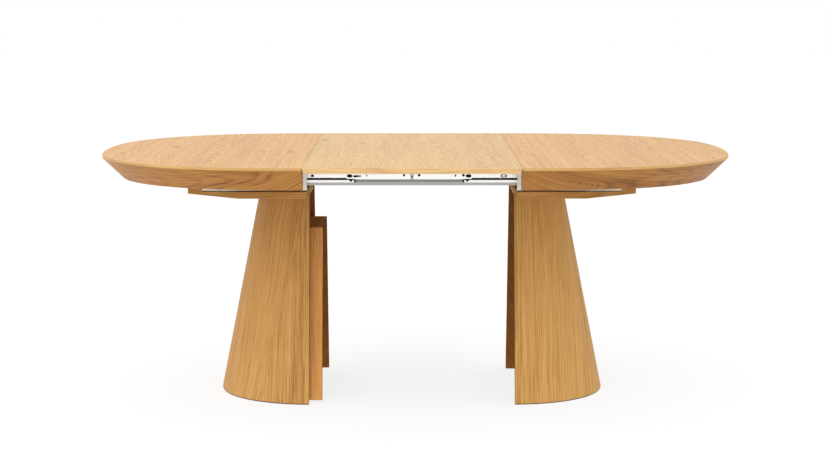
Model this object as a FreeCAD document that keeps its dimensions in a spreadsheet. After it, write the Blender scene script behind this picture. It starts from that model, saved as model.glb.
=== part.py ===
import FreeCAD, Part
import math
import os

import Sketcher

# Round pedestal table that parts in the middle and takes a loose leaf.
# Frame: origin on the floor under the middle of the leaf, +X along the pull, +Z up, millimetres.
# Every piece of a half is drawn on the +X side; the -X half is the same piece turned half a turn
# about Z, so the two racks end up on opposite sides of the pinion.

Vector = FreeCAD.Vector
doc = FreeCAD.newDocument("SplitPedestalTable")

# ---------------------------------------------------------------- driving dimensions (mm)
SIZES = {
    # top: five arcs bound each half in plan, nearly straight beside the joint and at the tip
    "table_height": 745, "half_width": 650, "right_reach": 656, "left_reach": 635,
    "side_radius": 1377, "corner_radius": 519, "leaf_length": 610, "joint_gap": 0.5,
    "board_thickness": 16, "leaf_undercut": 6,
    "lip_height": 7.5, "edge_height": 68, "bevel_inset": 62, "apron_inset": 90,
    # pedestal: half of an elliptical cone, split at base_split from the middle
    "base_split": 309, "base_half_length": 284, "base_half_width": 284,
    "neck_half_length": 159, "neck_half_width": 151, "shell_top": 628,
    "shell_wall": 22, "glide_height": 3, "glide_radius": 9, "glide_turn": 80,
    "guide_gap": 5, "guide_wall": 16, "guide_reach": 39, "guide_foot": 8, "guide_top": 518,
    "hoop_height": 30, "low_hoop_level": 60, "high_hoop_level": 430,
    "former_thickness": 18, "foot_former_level": 10, "mid_former_level": 300,
    "guide_room": 48, "former_setback": 20, "end_setback": 4,
    # support board between pedestal and rails
    "support_thickness": 20, "support_start": 307, "support_end": 670,
    "support_half_width": 351, "support_end_half_width": 212, "support_chamfer_start": 508,
    # telescopic rails: section sizes are across the table, measured from its middle line
    "rail_inner": 296, "rail_outer": 319, "rail_bottom": 664, "rail_top": 725,
    "rail_half_length": 440, "rail_skin": 3,
    "slot_level": 677.5, "slot_half_height": 3.9, "mouth_half_height": 2.2,
    "slot_depth": 7.5, "slot_lip": 1.5, "web_inner": 333, "web_outer": 339,
    "block_inner": 326, "block_half_height": 6, "packer_thickness": 3,
    "outer_rail_start": 308, "outer_rail_end": 612, "flange_inner": 305, "flange_outer": 365,
    "flange_thickness": 4, "slide_play": 0.4, "cap_length": 4,
    "right_slide_start": 153, "left_slide_start": 170, "slide_length": 360,
    "notch_place": 8.7, "notch_radius": 2.2,
    "wiper_inner": 324.2, "wiper_outer": 325.8, "wiper_top": 685.8, "wiper_setback": 22,
    "carrier_thickness": 2, "carrier_bottom": 682.5, "carrier_leg": 30, "carrier_half_length": 430,
    "hole_radius": 1.7,
    # centre frame and synchroniser
    "tie_position": 130, "tie_width": 24, "tie_height": 20, "tie_bottom": 672, "tie_wall": 2,
    "plate_half_length": 150, "plate_half_width": 46, "plate_thickness": 4, "plate_corner": 12,
    "tooth_module": 2, "pinion_teeth": 20, "rack_gaps": 55, "gear_bottom": 700, "gear_height": 12,
    "rack_depth": 14, "rack_tail": 28, "backlash": 0.3, "gear_play": 0.3,
    "axle_radius": 6, "axle_play": 0.08, "axle_foot": 3, "axle_head": 1.2, "hub_wall": 6,
    "bracket_length": 40, "bracket_width": 34, "bracket_setback": 12,
    "shoe_length": 36, "shoe_start": 4, "shoe_wall": 7, "shoe_drop": 1,
    # small parts
    "joint_plate_inner": 368, "joint_plate_outer": 552, "joint_plate_drop": 67,
    "joint_plate_thickness": 3, "joint_flange": 30,
    "stiffener_half_width": 284, "stiffener_height": 14,
    "pin_radius": 4, "pin_play": 0.3, "pin_position": 246, "pin_line": 306,
    "pin_length": 21, "pin_grip": 8,
    "pad_inner": 296, "pad_outer": 318, "pad_start": 60, "pad_end": 210,
    "button_level": 691.5, "button_position": 165, "button_radius": 5.5, "button_stretch": 5,
    "button_height": 4, "lever_position": 181, "lever_reach": 35, "lever_thickness": 3,
    "finger_root": 3, "finger_tip": 1.2, "finger_drop": 0.8, "lever_bore": 2.1,
    "rivet_radius": 3.2, "rivet_height": 1.4, "lever_rivet_shank": 2, "lever_rivet_head": 3.6,
    "lever_rivet_play": 0.2, "lever_rivet_height": 1.3,
    "screw_radius": 2.2, "screw_play": 0.4, "screw_head_radius": 4.5, "screw_head_height": 2.4,
    "screw_grip": 12, "foot_screw_line": 314, "top_screw_line": 352,
    "bolt_radius": 3.5, "bolt_head_radius": 6.5, "bolt_head_height": 4,
    "bolt_place": 38, "bolt_line": 70, "far_bolt_place": 95,
}

sheet = doc.addObject("Spreadsheet::Sheet", "Sizes")
for row, (word, value) in enumerate(SIZES.items(), start=1):
    sheet.set(f"A{row}", word)
    sheet.set(f"B{row}", str(value))
    sheet.setAlias(f"B{row}", word)
doc.recompute()

# Levels and lengths that several pieces share, as expressions on the sheet.
S = {word: f"Sizes.{word}" for word in SIZES}
BOARD_BOTTOM = f"({S['table_height']} - {S['board_thickness']})"
JOINT = f"({S['leaf_length']} / 2 + {S['joint_gap']} / 2)"
LIP_BOTTOM = f"({S['table_height']} - {S['lip_height']})"
EDGE_BOTTOM = f"({S['table_height']} - {S['edge_height']})"
BEVEL_RUN = f"({S['bevel_inset']} / ({S['edge_height']} - {S['lip_height']}))"
BOARD_INSET = f"(({S['board_thickness']} - {S['lip_height']}) * {BEVEL_RUN})"
SUPPORT_TOP = f"({S['shell_top']} + {S['support_thickness']})"
RAIL_FOOT = f"({SUPPORT_TOP} + {S['packer_thickness']})"
CARRIER_TOP = f"({S['rail_top']} + {S['carrier_thickness']})"
CARRIER_FACE = f"({S['rail_outer']} + {S['carrier_thickness']})"
PLATE_BOTTOM = f"({S['tie_bottom']} + {S['tie_height']})"
PLATE_TOP = f"({PLATE_BOTTOM} + {S['plate_thickness']})"
GEAR_TOP = f"({S['gear_bottom']} + {S['gear_height']})"
PITCH_RADIUS = f"({S['tooth_module']} * {S['pinion_teeth']} / 2)"
PITCH = f"({S['tooth_module']} * {math.pi})"
RACK_START = f"(-3.5 * {PITCH})"
RACK_END = f"({RACK_START} + {S['rack_gaps']} * {PITCH} + {S['rack_tail']})"

# Places along the table: screws in the rails' feet and tops, holes and rivets in the carriers.
FOOT_STATIONS = (335, 480)
TOP_STATIONS = (350, 460, 585)
CARRIER_HOLES = (-365, -132, -23, 20, 126, 149, 365)
RIVET_PLACES = (-291, 0, 270)

HALF_TURN = FreeCAD.Placement(Vector(0, 0, 0), FreeCAD.Rotation(Vector(0, 0, 1), 180))
SIDES = (("right", False), ("left", True))
EDGES = (("front", -1), ("rear", 1))
PARTS = []


# ---------------------------------------------------------------- drawing helpers
def keep(piece, label, turned=False):
    """Name a finished piece, turn it to its half of the table and put it on the parts list."""
    piece.Label = label
    if turned:
        piece.Placement = HALF_TURN.multiply(piece.Placement)
    PARTS.append(piece)
    return piece


def new_body(name):
    """Empty PartDesign body."""
    return doc.addObject("PartDesign::Body", name)


def new_sketch(body, plane, name, lift="0", shift="0"):
    """Sketch on one of the body's own planes, lifted along its normal and shifted along its first axis."""
    sketch = body.newObject("Sketcher::SketchObject", name)
    origin_plane = [item for item in body.Origin.OriginFeatures if item.Role == plane][0]
    sketch.AttachmentSupport = (origin_plane, "")
    sketch.MapMode = "FlatFace"
    sketch.setExpression("AttachmentOffset.Base.z", f"1 mm * ({lift})")
    sketch.setExpression("AttachmentOffset.Base.x", f"1 mm * ({shift})")
    return sketch


def value_of(expression):
    """The number that an expression on the sheet gives now, to start the sketch solver close."""
    return float(sheet.evalExpression(str(expression)))


def pin_down(sketch, kind, items, expression):
    """Add one dimension and bind it to the sheet."""
    index = sketch.addConstraint(Sketcher.Constraint(kind, *items, value_of(expression)))
    sketch.setExpression(f"Constraints[{index}]", str(expression))


def outline(sketch, corners):
    """Closed straight-sided outline whose corners are pairs of expressions."""
    first = len(sketch.Geometry)
    places = [Vector(value_of(across), value_of(up), 0) for across, up in corners]
    count = len(places)
    for index in range(count):
        sketch.addGeometry(Part.LineSegment(places[index], places[(index + 1) % count]), False)
    for index in range(count):
        following = first + (index + 1) % count
        sketch.addConstraint(Sketcher.Constraint("Coincident", first + index, 2, following, 1))
    for index, (across, up) in enumerate(corners):
        pin_down(sketch, "DistanceX", (-1, 1, first + index, 1), across)
        pin_down(sketch, "DistanceY", (-1, 1, first + index, 1), up)


def rectangle(sketch, low, high):
    """Upright rectangle between two corners."""
    outline(sketch, [low, (high[0], low[1]), high, (low[0], high[1])])


def circle(sketch, across, up, radius):
    """Circle about a point, with a radius from the sheet."""
    centre = Vector(value_of(across), value_of(up), 0)
    index = sketch.addGeometry(Part.Circle(centre, Vector(0, 0, 1), value_of(radius)), False)
    pin_down(sketch, "DistanceX", (-1, 1, index, 3), across)
    pin_down(sketch, "DistanceY", (-1, 1, index, 3), up)
    pin_down(sketch, "Radius", (index,), radius)


def slot_hole(sketch, across, up, radius, stretch):
    """Obround whose straight part is stretch long, along the sketch's first axis."""
    middle, level = value_of(across), value_of(up)
    size, half = value_of(radius), value_of(stretch) / 2
    turn = math.pi / 2
    ends = [(middle + half, -turn, turn), (middle - half, turn, 3 * turn)]
    first = len(sketch.Geometry)
    for centre_x, start, stop in ends:
        ring = Part.Circle(Vector(centre_x, level, 0), Vector(0, 0, 1), size)
        sketch.addGeometry(Part.ArcOfCircle(ring, start, stop), False)
    for sign in (1, -1):
        near = Vector(middle + half, level + sign * size, 0)
        away = Vector(middle - half, level + sign * size, 0)
        sketch.addGeometry(Part.LineSegment(near, away), False)
    right, left, top, bottom = first, first + 1, first + 2, first + 3
    touches = ((top, 1, right, 2), (top, 2, left, 1), (bottom, 2, left, 2), (bottom, 1, right, 1))
    for line, at_line, arc, at_arc in touches:
        sketch.addConstraint(Sketcher.Constraint("Tangent", line, at_line, arc, at_arc))
    pin_down(sketch, "DistanceX", (-1, 1, right, 3), f"{across} + {stretch} / 2")
    pin_down(sketch, "DistanceX", (-1, 1, left, 3), f"{across} - {stretch} / 2")
    pin_down(sketch, "DistanceY", (-1, 1, right, 3), up)
    pin_down(sketch, "Radius", (right,), radius)


def pad(body, sketch, length, symmetric=False, backwards=False):
    """Extrude a sketch."""
    feature = body.newObject("PartDesign::Pad", sketch.Name + "Pad")
    feature.Profile = sketch
    feature.setExpression("Length", f"1 mm * ({length})")
    feature.SideType = "Symmetric" if symmetric else "One side"
    feature.Reversed = backwards
    doc.recompute()
    return feature


def pocket(body, sketch, length, symmetric=False, backwards=False):
    """Cut a sketch into the body, and make sure that it removed something."""
    before = body.Shape.Volume
    feature = body.newObject("PartDesign::Pocket", sketch.Name + "Pocket")
    feature.Profile = sketch
    feature.setExpression("Length", f"1 mm * ({length})")
    feature.SideType = "Symmetric" if symmetric else "One side"
    feature.Reversed = backwards
    doc.recompute()
    if not body.Shape.Volume < before:
        raise RuntimeError(f"{feature.Name} cuts nothing")
    return feature


def revolve(body, sketch):
    """Turn a sketch once round its own second axis."""
    feature = body.newObject("PartDesign::Revolution", sketch.Name + "Turn")
    feature.Profile = sketch
    feature.ReferenceAxis = (sketch, ["V_Axis"])
    feature.Angle = 360
    doc.recompute()
    return feature


def line_pattern(body, feature, axis, spacing, count):
    """Repeat a feature along one axis of the body."""
    pattern = body.newObject("PartDesign::LinearPattern", feature.Name + "Row")
    pattern.Originals = [feature]
    along = [item for item in body.Origin.OriginFeatures if item.Role == axis][0]
    pattern.Direction = (along, [""])
    pattern.Mode = "Spacing"
    pattern.setExpression("Offset", f"1 mm * ({spacing})")
    pattern.setExpression("Occurrences", count)
    body.Tip = pattern
    doc.recompute()
    return pattern


def block(name, low, high):
    """Part::Box between two corners given as expressions."""
    box = doc.addObject("Part::Box", name)
    for axis, size, start, stop in zip("xyz", ("Length", "Width", "Height"), low, high):
        box.setExpression(size, f"1 mm * (({stop}) - ({start}))")
        box.setExpression(f"Placement.Base.{axis}", f"1 mm * ({start})")
    return box


def combine(kind, name, base, tool):
    """Part::Cut or Part::Common of two objects."""
    result = doc.addObject(f"Part::{kind}", name)
    result.Base = base
    result.Tool = tool
    doc.recompute()
    return result


def fuse_all(name, pieces):
    """One object from several; pieces that don't touch stay separate solids."""
    result = doc.addObject("Part::MultiFuse", name)
    result.Shapes = pieces
    doc.recompute()
    return result


def loft(name, sections):
    """Solid between closed outlines, with straight rulings."""
    solid = doc.addObject("Part::Loft", name)
    solid.Sections = sections
    solid.Solid = True
    solid.Ruled = True
    doc.recompute()
    return solid


# ---------------------------------------------------------------- pedestal cone
def taper(foot, neck, level, offset):
    """Semi-axis of the cone at a level, drawn in by an offset."""
    return f"({S[foot]} - ({S[foot]} - {S[neck]}) * ({level}) / {S['shell_top']} - ({offset}))"


def cone(name, offset, low, high):
    """Whole elliptical cone between two levels, centred on the split plane."""
    rings = []
    for tag, level in (("Low", low), ("High", high)):
        ring = doc.addObject("Part::Ellipse", f"{name}{tag}")
        for radius, way in (("MajorRadius", "length"), ("MinorRadius", "width")):
            size = taper(f"base_half_{way}", f"neck_half_{way}", level, offset)
            ring.setExpression(radius, f"1 mm * {size}")
        ring.setExpression("Placement.Base.x", f"1 mm * {S['base_split']}")
        ring.setExpression("Placement.Base.z", f"1 mm * ({level})")
        rings.append(ring)
    return loft(name, rings)


def half_of(name, solid, low, high, setback="0"):
    """The part of a cone beyond the split plane, as far from it as setback."""
    start = f"{S['base_split']} + {setback}"
    wide, far = S["base_half_width"], f"{start} + {S['base_half_length']}"
    room = block(f"{name}Room", (start, f"-{wide}", low), (far, wide, high))
    return combine("Common", name, solid, room)


def straight_walls(name, offset, low, high):
    """Wedge of straight walls in front of the split plane, which carries the cone's end on."""
    body = new_body(name)
    sketch = new_sketch(body, "YZ_Plane", f"{name}Sketch", S["base_split"])
    width_low = taper("base_half_width", "neck_half_width", low, offset)
    width_high = taper("base_half_width", "neck_half_width", high, offset)
    outline(sketch, [(f"-{width_low}", low), (width_low, low), (width_high, high), (f"-{width_high}", high)])
    pad(body, sketch, S["guide_reach"], backwards=True)
    return body


def pedestal_shell(side, turned):
    """Bent veneered wall of one half pedestal, open at the split plane and at the floor."""
    low, high = S["glide_height"], S["shell_top"]
    outside = cone(f"{side}ShellOutside", "0", low, high)
    inside = cone(f"{side}ShellInside", S["shell_wall"], low, high)
    wall = combine("Cut", f"{side}ShellWall", outside, inside)
    keep(half_of(f"{side}Shell", wall, low, high), f"{side}_pedestal_shell", turned)


def former(side, turned, place, level, offset, setback):
    """Flat rib that the bent wall is glued to."""
    high = f"{level} + {S['former_thickness']}"
    name = f"{side}{place}Former"
    plate = cone(f"{name}Cone", offset, level, high)
    keep(half_of(name, plate, level, high, setback), f"{side}_{place.lower()}_former", turned)


def guide_shell(turned):
    """Inner wall of the left pedestal, which reaches past the split plane into the right one."""
    low, high = S["guide_foot"], S["guide_top"]
    outer = f"{S['shell_wall']} + {S['guide_gap']}"
    inner = f"{outer} + {S['guide_wall']}"
    walls = []
    for tag, offset in (("Outside", outer), ("Inside", inner)):
        bend = half_of(f"Guide{tag}Half", cone(f"Guide{tag}", offset, low, high), low, high)
        straight = straight_walls(f"Guide{tag}Straight", offset, low, high)
        walls.append(fuse_all(f"Guide{tag}Whole", [bend, straight]))
    keep(combine("Cut", "GuideShell", walls[0], walls[1]), "left_guide_shell", turned)


def guide_spacers(turned):
    """Two hoops that fill the gap between the pedestal wall and the guide."""
    hoops = []
    for number, low in enumerate((S["low_hoop_level"], S["high_hoop_level"])):
        high = f"{low} + {S['hoop_height']}"
        outside = cone(f"Hoop{number}Outside", S["shell_wall"], low, high)
        inside = cone(f"Hoop{number}Inside", f"{S['shell_wall']} + {S['guide_gap']}", low, high)
        ring = combine("Cut", f"Hoop{number}Ring", outside, inside)
        hoops.append(half_of(f"Hoop{number}", ring, low, high, S["end_setback"]))
    keep(fuse_all("GuideSpacers", hoops), "left_guide_spacers", turned)


def glides(side, turned):
    """Three round pads under the wall."""
    pads = []
    length = f"({S['base_half_length']} - {S['shell_wall']} / 2)"
    width = f"({S['base_half_width']} - {S['shell_wall']} / 2)"
    for number, way in enumerate((-1, 0, 1)):
        angle = f"({way} * {S['glide_turn']} * 1 deg)"
        disc = doc.addObject("Part::Cylinder", f"{side}Glide{number}")
        disc.setExpression("Radius", f"1 mm * {S['glide_radius']}")
        disc.setExpression("Height", f"1 mm * {S['glide_height']}")
        disc.setExpression("Placement.Base.x", f"1 mm * ({S['base_split']} + {length} * cos({angle}))")
        disc.setExpression("Placement.Base.y", f"1 mm * ({width} * sin({angle}))")
        pads.append(disc)
    keep(fuse_all(f"{side}Glides", pads), f"{side}_glides", turned)


def screw_group(label, places, radii, head_span, shank_span, turned):
    """Separate upright screws; radii and the two spans are those of the head and the shank."""
    screws = []
    for number, (across, along) in enumerate(places):
        solids = []
        for tag, radius, (low, high) in zip(("Head", "Shank"), radii, (head_span, shank_span)):
            rod = doc.addObject("Part::Cylinder", f"{label}{number}{tag}")
            rod.setExpression("Radius", f"1 mm * ({radius})")
            rod.setExpression("Height", f"1 mm * (({high}) - ({low}))")
            rod.setExpression("Placement.Base.x", f"1 mm * ({across})")
            rod.setExpression("Placement.Base.y", f"1 mm * ({along})")
            rod.setExpression("Placement.Base.z", f"1 mm * ({low})")
            solids.append(rod)
        screws.append(fuse_all(f"{label}{number}", solids))
    keep(fuse_all(f"{label}Group", screws), label, turned)


# ---------------------------------------------------------------- half top
def rim(side, name, level, inset):
    """Closed plan of a half top at a level, drawn in by inset: five arcs without a kink, and the joint."""
    sketch = doc.addObject("Sketcher::SketchObject", name)
    sketch.setExpression("Placement.Base.z", f"1 mm * ({level})")
    joint, wide, reach = (value_of(size) for size in (JOINT, S["half_width"], S[f"{side}_reach"]))
    flat, corner = value_of(S["side_radius"]), value_of(S["corner_radius"])
    front, rear, tip = Vector(joint, flat - wide), Vector(joint, wide - flat), Vector(joint + reach - flat)
    span = tip - front
    lift = math.sqrt((flat - corner) ** 2 - span.Length ** 2 / 4)
    front_corner = (front + tip) * 0.5 + Vector(-span.y, span.x).normalize() * lift
    rear_corner = Vector(front_corner.x, -front_corner.y)

    centres = (front, front_corner, tip, rear_corner, rear)
    radii = [f"({S[radius]} - ({inset}))" for radius in
             ("side_radius", "corner_radius", "side_radius", "corner_radius", "side_radius")]
    steps = (front_corner - front, front_corner - tip, rear_corner - tip, rear_corner - rear)
    turns = [-math.pi / 2] + [math.atan2(step.y, step.x) for step in steps] + [math.pi / 2]
    for centre, radius, start, stop in zip(centres, radii, turns, turns[1:]):
        ring = Part.Circle(centre, Vector(0, 0, 1), value_of(radius))
        sketch.addGeometry(Part.ArcOfCircle(ring, start, stop), False)
    edge = f"({S['half_width']} - ({inset}))"
    ends = [Vector(joint, sign * value_of(edge)) for sign in (1, -1)]
    joint_line = sketch.addGeometry(Part.LineSegment(*ends), False)

    last = len(centres) - 1
    for arc in range(last):
        sketch.addConstraint(Sketcher.Constraint("Tangent", arc, 2, arc + 1, 1))
    sketch.addConstraint(Sketcher.Constraint("Coincident", last, 2, joint_line, 1))
    sketch.addConstraint(Sketcher.Constraint("Coincident", joint_line, 2, 0, 1))
    for arc, radius in enumerate(radii):
        pin_down(sketch, "Radius", (arc,), radius)
    for arc, point, sign in ((0, 1, -1), (last, 2, 1)):
        pin_down(sketch, "DistanceX", (-1, 1, arc, point), JOINT)
        pin_down(sketch, "DistanceX", (-1, 1, arc, 3), JOINT)
        pin_down(sketch, "DistanceY", (-1, 1, arc, point), f"{sign} * {edge}")
    sketch.addConstraint(Sketcher.Constraint("PointOnObject", last // 2, 3, -1))
    tip_centre = f"{JOINT} + {S[f'{side}_reach']} - {S['side_radius']}"
    pin_down(sketch, "DistanceX", (-1, 1, last // 2, 3), tip_centre)
    return sketch


def top_board(side, turned):
    """Board of one half with the lip and the start of the bevel on its edge."""
    levels = ((BOARD_BOTTOM, BOARD_INSET), (LIP_BOTTOM, "0"), (S["table_height"], "0"))
    rims = [rim(side, f"{side}TopRim{number}", *level) for number, level in enumerate(levels)]
    keep(loft(f"{side}TopBoard", rims), f"{side}_top_board", turned)


def apron(side, turned):
    """Bent strip under the board that carries the bevel down, with a straight inner face."""
    walls = []
    inside = S["apron_inset"]
    for tag, bottom, top in (("Outside", S["bevel_inset"], BOARD_INSET), ("Inside", inside, inside)):
        rims = [rim(side, f"{side}Apron{tag}Low", EDGE_BOTTOM, bottom),
                rim(side, f"{side}Apron{tag}High", BOARD_BOTTOM, top)]
        walls.append(loft(f"{side}Apron{tag}", rims))
    keep(combine("Cut", f"{side}Apron", *walls), f"{side}_apron", turned)


def angle_profile(body, sketch, height):
    """Metal angle: one leg on the joint plane, the other flat under the board."""
    thick, flange = S["joint_plate_thickness"], S["joint_flange"]
    low, under = f"{BOARD_BOTTOM} - {height}", f"{BOARD_BOTTOM} - {thick}"
    face, far = f"{JOINT} + {thick}", f"{JOINT} + {flange}"
    outline(sketch, [(JOINT, low), (face, low), (face, under), (far, under), (far, BOARD_BOTTOM),
                     (JOINT, BOARD_BOTTOM)])


def joint_plates(side, turned):
    """Two deep angles on the joint, between the rails and the apron."""
    angles = []
    for edge, sign in EDGES:
        body = new_body(f"{side}JointPlate{edge}")
        low, high = S["joint_plate_inner"], S["joint_plate_outer"]
        lift = f"-1 * {low}" if sign < 0 else f"{high}"
        sketch = new_sketch(body, "XZ_Plane", f"{side}JointPlate{edge}Sketch", f"-1 * ({lift})")
        angle_profile(body, sketch, S["joint_plate_drop"])
        pad(body, sketch, f"{high} - {low}")
        angles.append(body)
    keep(fuse_all(f"{side}JointPlates", angles), f"{side}_joint_plates", turned)


def joint_stiffener(side, turned):
    """Angle under the board along the joint, between the rails."""
    body = new_body(f"{side}Stiffener")
    sketch = new_sketch(body, "XZ_Plane", f"{side}StiffenerSketch")
    angle_profile(body, sketch, S["stiffener_height"])
    pad(body, sketch, f"2 * {S['stiffener_half_width']}", symmetric=True)
    keep(body, f"{side}_joint_stiffener", turned)


def support_board(side, turned):
    """Board on the pedestal, with its two outer corners cut off in plan."""
    body = new_body(f"{side}SupportBoard")
    sketch = new_sketch(body, "XY_Plane", f"{side}SupportSketch", S["shell_top"])
    start, chamfer, end = S["support_start"], S["support_chamfer_start"], S["support_end"]
    wide, narrow = S["support_half_width"], S["support_end_half_width"]
    outline(sketch, [(start, f"-{wide}"), (chamfer, f"-{wide}"), (end, f"-{narrow}"),
                     (end, narrow), (chamfer, wide), (start, wide)])
    pad(body, sketch, S["support_thickness"])
    keep(body, f"{side}_support_board", turned)


# ---------------------------------------------------------------- telescopic rails
def slot_corners(face, inwards, clearance):
    """T-slot cut into a rail face: mouth first, then the wider inside. inwards is +1 or -1."""
    level = S["slot_level"]
    lip = f"({face} + {inwards} * ({S['slot_lip']} + {clearance}))"
    deep = f"({face} + {inwards} * ({S['slot_depth']} - {clearance}))"
    mouth = f"({S['mouth_half_height']} - {clearance})"
    wide = f"({S['slot_half_height']} - {clearance})"
    return [(face, f"{level} - {mouth}"), (lip, f"{level} - {mouth}"), (lip, f"{level} - {wide}"),
            (deep, f"{level} - {wide}"), (deep, f"{level} + {wide}"), (lip, f"{level} + {wide}"),
            (lip, f"{level} + {mouth}"), (face, f"{level} + {mouth}")]


def on_side(sign, corners):
    """Mirror a section to the front or the rear of the table."""
    return [(f"{sign} * ({across})", up) for across, up in corners]


def centre_rail(edge, sign):
    """Hollow extrusion with a T-slot low in its outer face."""
    body = new_body(f"CentreRail{edge}")
    sketch = new_sketch(body, "YZ_Plane", f"CentreRail{edge}Sketch")
    inner, outer, low, high = S["rail_inner"], S["rail_outer"], S["rail_bottom"], S["rail_top"]
    skin = S["rail_skin"]
    section = [(inner, low), (outer, low)] + slot_corners(outer, -1, "0") + [(outer, high), (inner, high)]
    outline(sketch, on_side(sign, section))
    shelf = f"{S['slot_level']} + {S['slot_half_height']} + {skin}"
    chamber_wall = f"{outer} - {S['slot_depth']} - {skin}"
    chamber = [(f"{inner} + {skin}", f"{low} + {skin}"), (chamber_wall, f"{low} + {skin}"),
               (chamber_wall, shelf),
               (f"{outer} - {skin}", shelf), (f"{outer} - {skin}", f"{high} - {skin}"),
               (f"{inner} + {skin}", f"{high} - {skin}")]
    outline(sketch, on_side(sign, chamber))
    pad(body, sketch, f"2 * {S['rail_half_length']}", symmetric=True)
    holes = new_sketch(body, "XY_Plane", f"CentreRail{edge}Holes", high)
    pin_holes(holes, sign)
    pocket(body, holes, skin)
    keep(body, f"centre_rail_{edge}")


def pin_holes(sketch, sign):
    """Two holes for the leaf's locating pins."""
    radius = f"{S['pin_radius']} + {S['pin_play']}"
    for way in (-1, 1):
        circle(sketch, f"{way} * {S['pin_position']}", f"{sign} * {S['pin_line']}", radius)


def carrier(edge, sign):
    """Perforated steel angle on the rail: the leaf rests on its top leg."""
    body = new_body(f"Carrier{edge}")
    sketch = new_sketch(body, "YZ_Plane", f"Carrier{edge}Sketch")
    face, back = CARRIER_FACE, S["rail_outer"]
    section = [(back, S["carrier_bottom"]), (face, S["carrier_bottom"]), (face, CARRIER_TOP),
               (f"{face} - {S['carrier_leg']}", CARRIER_TOP), (f"{face} - {S['carrier_leg']}", S["rail_top"]),
               (back, S["rail_top"])]
    outline(sketch, on_side(sign, section))
    pad(body, sketch, f"2 * {S['carrier_half_length']}", symmetric=True)
    holes = new_sketch(body, "XY_Plane", f"Carrier{edge}PinHoles", CARRIER_TOP)
    pin_holes(holes, sign)
    pocket(body, holes, S["carrier_thickness"])
    # Fixing holes along the vertical leg, seen from the long side of the table.
    row = new_sketch(body, "XZ_Plane", f"Carrier{edge}Row")
    for place in CARRIER_HOLES:
        circle(row, place, S["button_level"], S["hole_radius"])
    pocket(body, row, f"2 * ({face} + {S['carrier_thickness']})", symmetric=True)
    keep(body, f"leaf_carrier_{edge}")


def outer_rail(side, turned, edge, sign):
    """Rail of one half: web with the T-slot block, foot flange on the board, top flange under the top."""
    body = new_body(f"{side}OuterRail{edge}")
    sketch = new_sketch(body, "YZ_Plane", f"{side}OuterRail{edge}Sketch", S["outer_rail_start"])
    web_in, web_out, block_in = S["web_inner"], S["web_outer"], S["block_inner"]
    thick = S["flange_thickness"]
    block_low = f"{S['slot_level']} - {S['block_half_height']}"
    block_high = f"{S['slot_level']} + {S['block_half_height']}"
    foot_face, top_face = f"{RAIL_FOOT} + {thick}", f"{BOARD_BOTTOM} - {thick}"
    section = ([(S["flange_inner"], RAIL_FOOT), (web_out, RAIL_FOOT), (web_out, top_face),
                (S["flange_outer"], top_face), (S["flange_outer"], BOARD_BOTTOM),
                (web_in, BOARD_BOTTOM), (web_in, block_high), (block_in, block_high)]
               + list(reversed(slot_corners(block_in, 1, "0")))
               + [(block_in, block_low), (web_in, block_low), (web_in, foot_face),
                  (S["flange_inner"], foot_face)])
    outline(sketch, on_side(sign, section))
    pad(body, sketch, f"{S['outer_rail_end']} - {S['outer_rail_start']}")
    for line, stations, face in (("foot_screw_line", FOOT_STATIONS, foot_face),
                                 ("top_screw_line", TOP_STATIONS, BOARD_BOTTOM)):
        holes = new_sketch(body, "XY_Plane", f"{side}OuterRail{edge}{line}", face)
        for station in stations:
            circle(holes, station, f"{sign} * {S[line]}", f"{S['screw_radius']} + {S['screw_play']}")
        pocket(body, holes, thick)
    keep(body, f"{side}_outer_rail_{edge}", turned)


def rail_packers(side, turned):
    """Thin strips between the feet of the two outer rails and the support board."""
    strips = []
    for edge, sign in EDGES:
        body = new_body(f"{side}Packer{edge}")
        sketch = new_sketch(body, "XY_Plane", f"{side}Packer{edge}Sketch", SUPPORT_TOP)
        near, away = sorted((f"{sign} * {S[place]}" for place in ("flange_inner", "web_outer")), key=value_of)
        rectangle(sketch, (S["outer_rail_start"], near), (S["outer_rail_end"], away))
        for station in FOOT_STATIONS:
            place = f"{sign} * {S['foot_screw_line']}"
            circle(sketch, station, place, f"{S['screw_radius']} + {S['screw_play']}")
        pad(body, sketch, S["packer_thickness"])
        strips.append(body)
    keep(fuse_all(f"{side}Packers", strips), f"{side}_rail_packers", turned)


def slide_section(name, sign, start, length):
    """Bar with a head in each rail's T-slot and a neck through both mouths."""
    body = new_body(name)
    sketch = new_sketch(body, "YZ_Plane", f"{name}Sketch", start)
    play = S["slide_play"]
    inner_head = slot_corners(S["rail_outer"], -1, play)[1:-1]
    outer_head = slot_corners(S["block_inner"], 1, play)[1:-1]
    outline(sketch, on_side(sign, inner_head + list(reversed(outer_head))))
    pad(body, sketch, length)
    return body


def slide_bar(side, turned, edge, sign):
    """Intermediate member, which runs in the centre rail and in the half's own rail."""
    name, start = f"{side}Slide{edge}", S[f"{side}_slide_start"]
    bar = slide_section(name, sign, start, S["slide_length"])
    head_top = f"{S['slot_level']} + {S['slot_half_height']} - {S['slide_play']}"
    notch = new_sketch(bar, "XZ_Plane", f"{name}Notch")
    circle(notch, f"{start} + {S['notch_place']}", head_top, S["notch_radius"])
    pocket(bar, notch, f"2 * {S['web_outer']}", symmetric=True)
    keep(bar, f"{side}_slide_bar_{edge}", turned)


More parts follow.
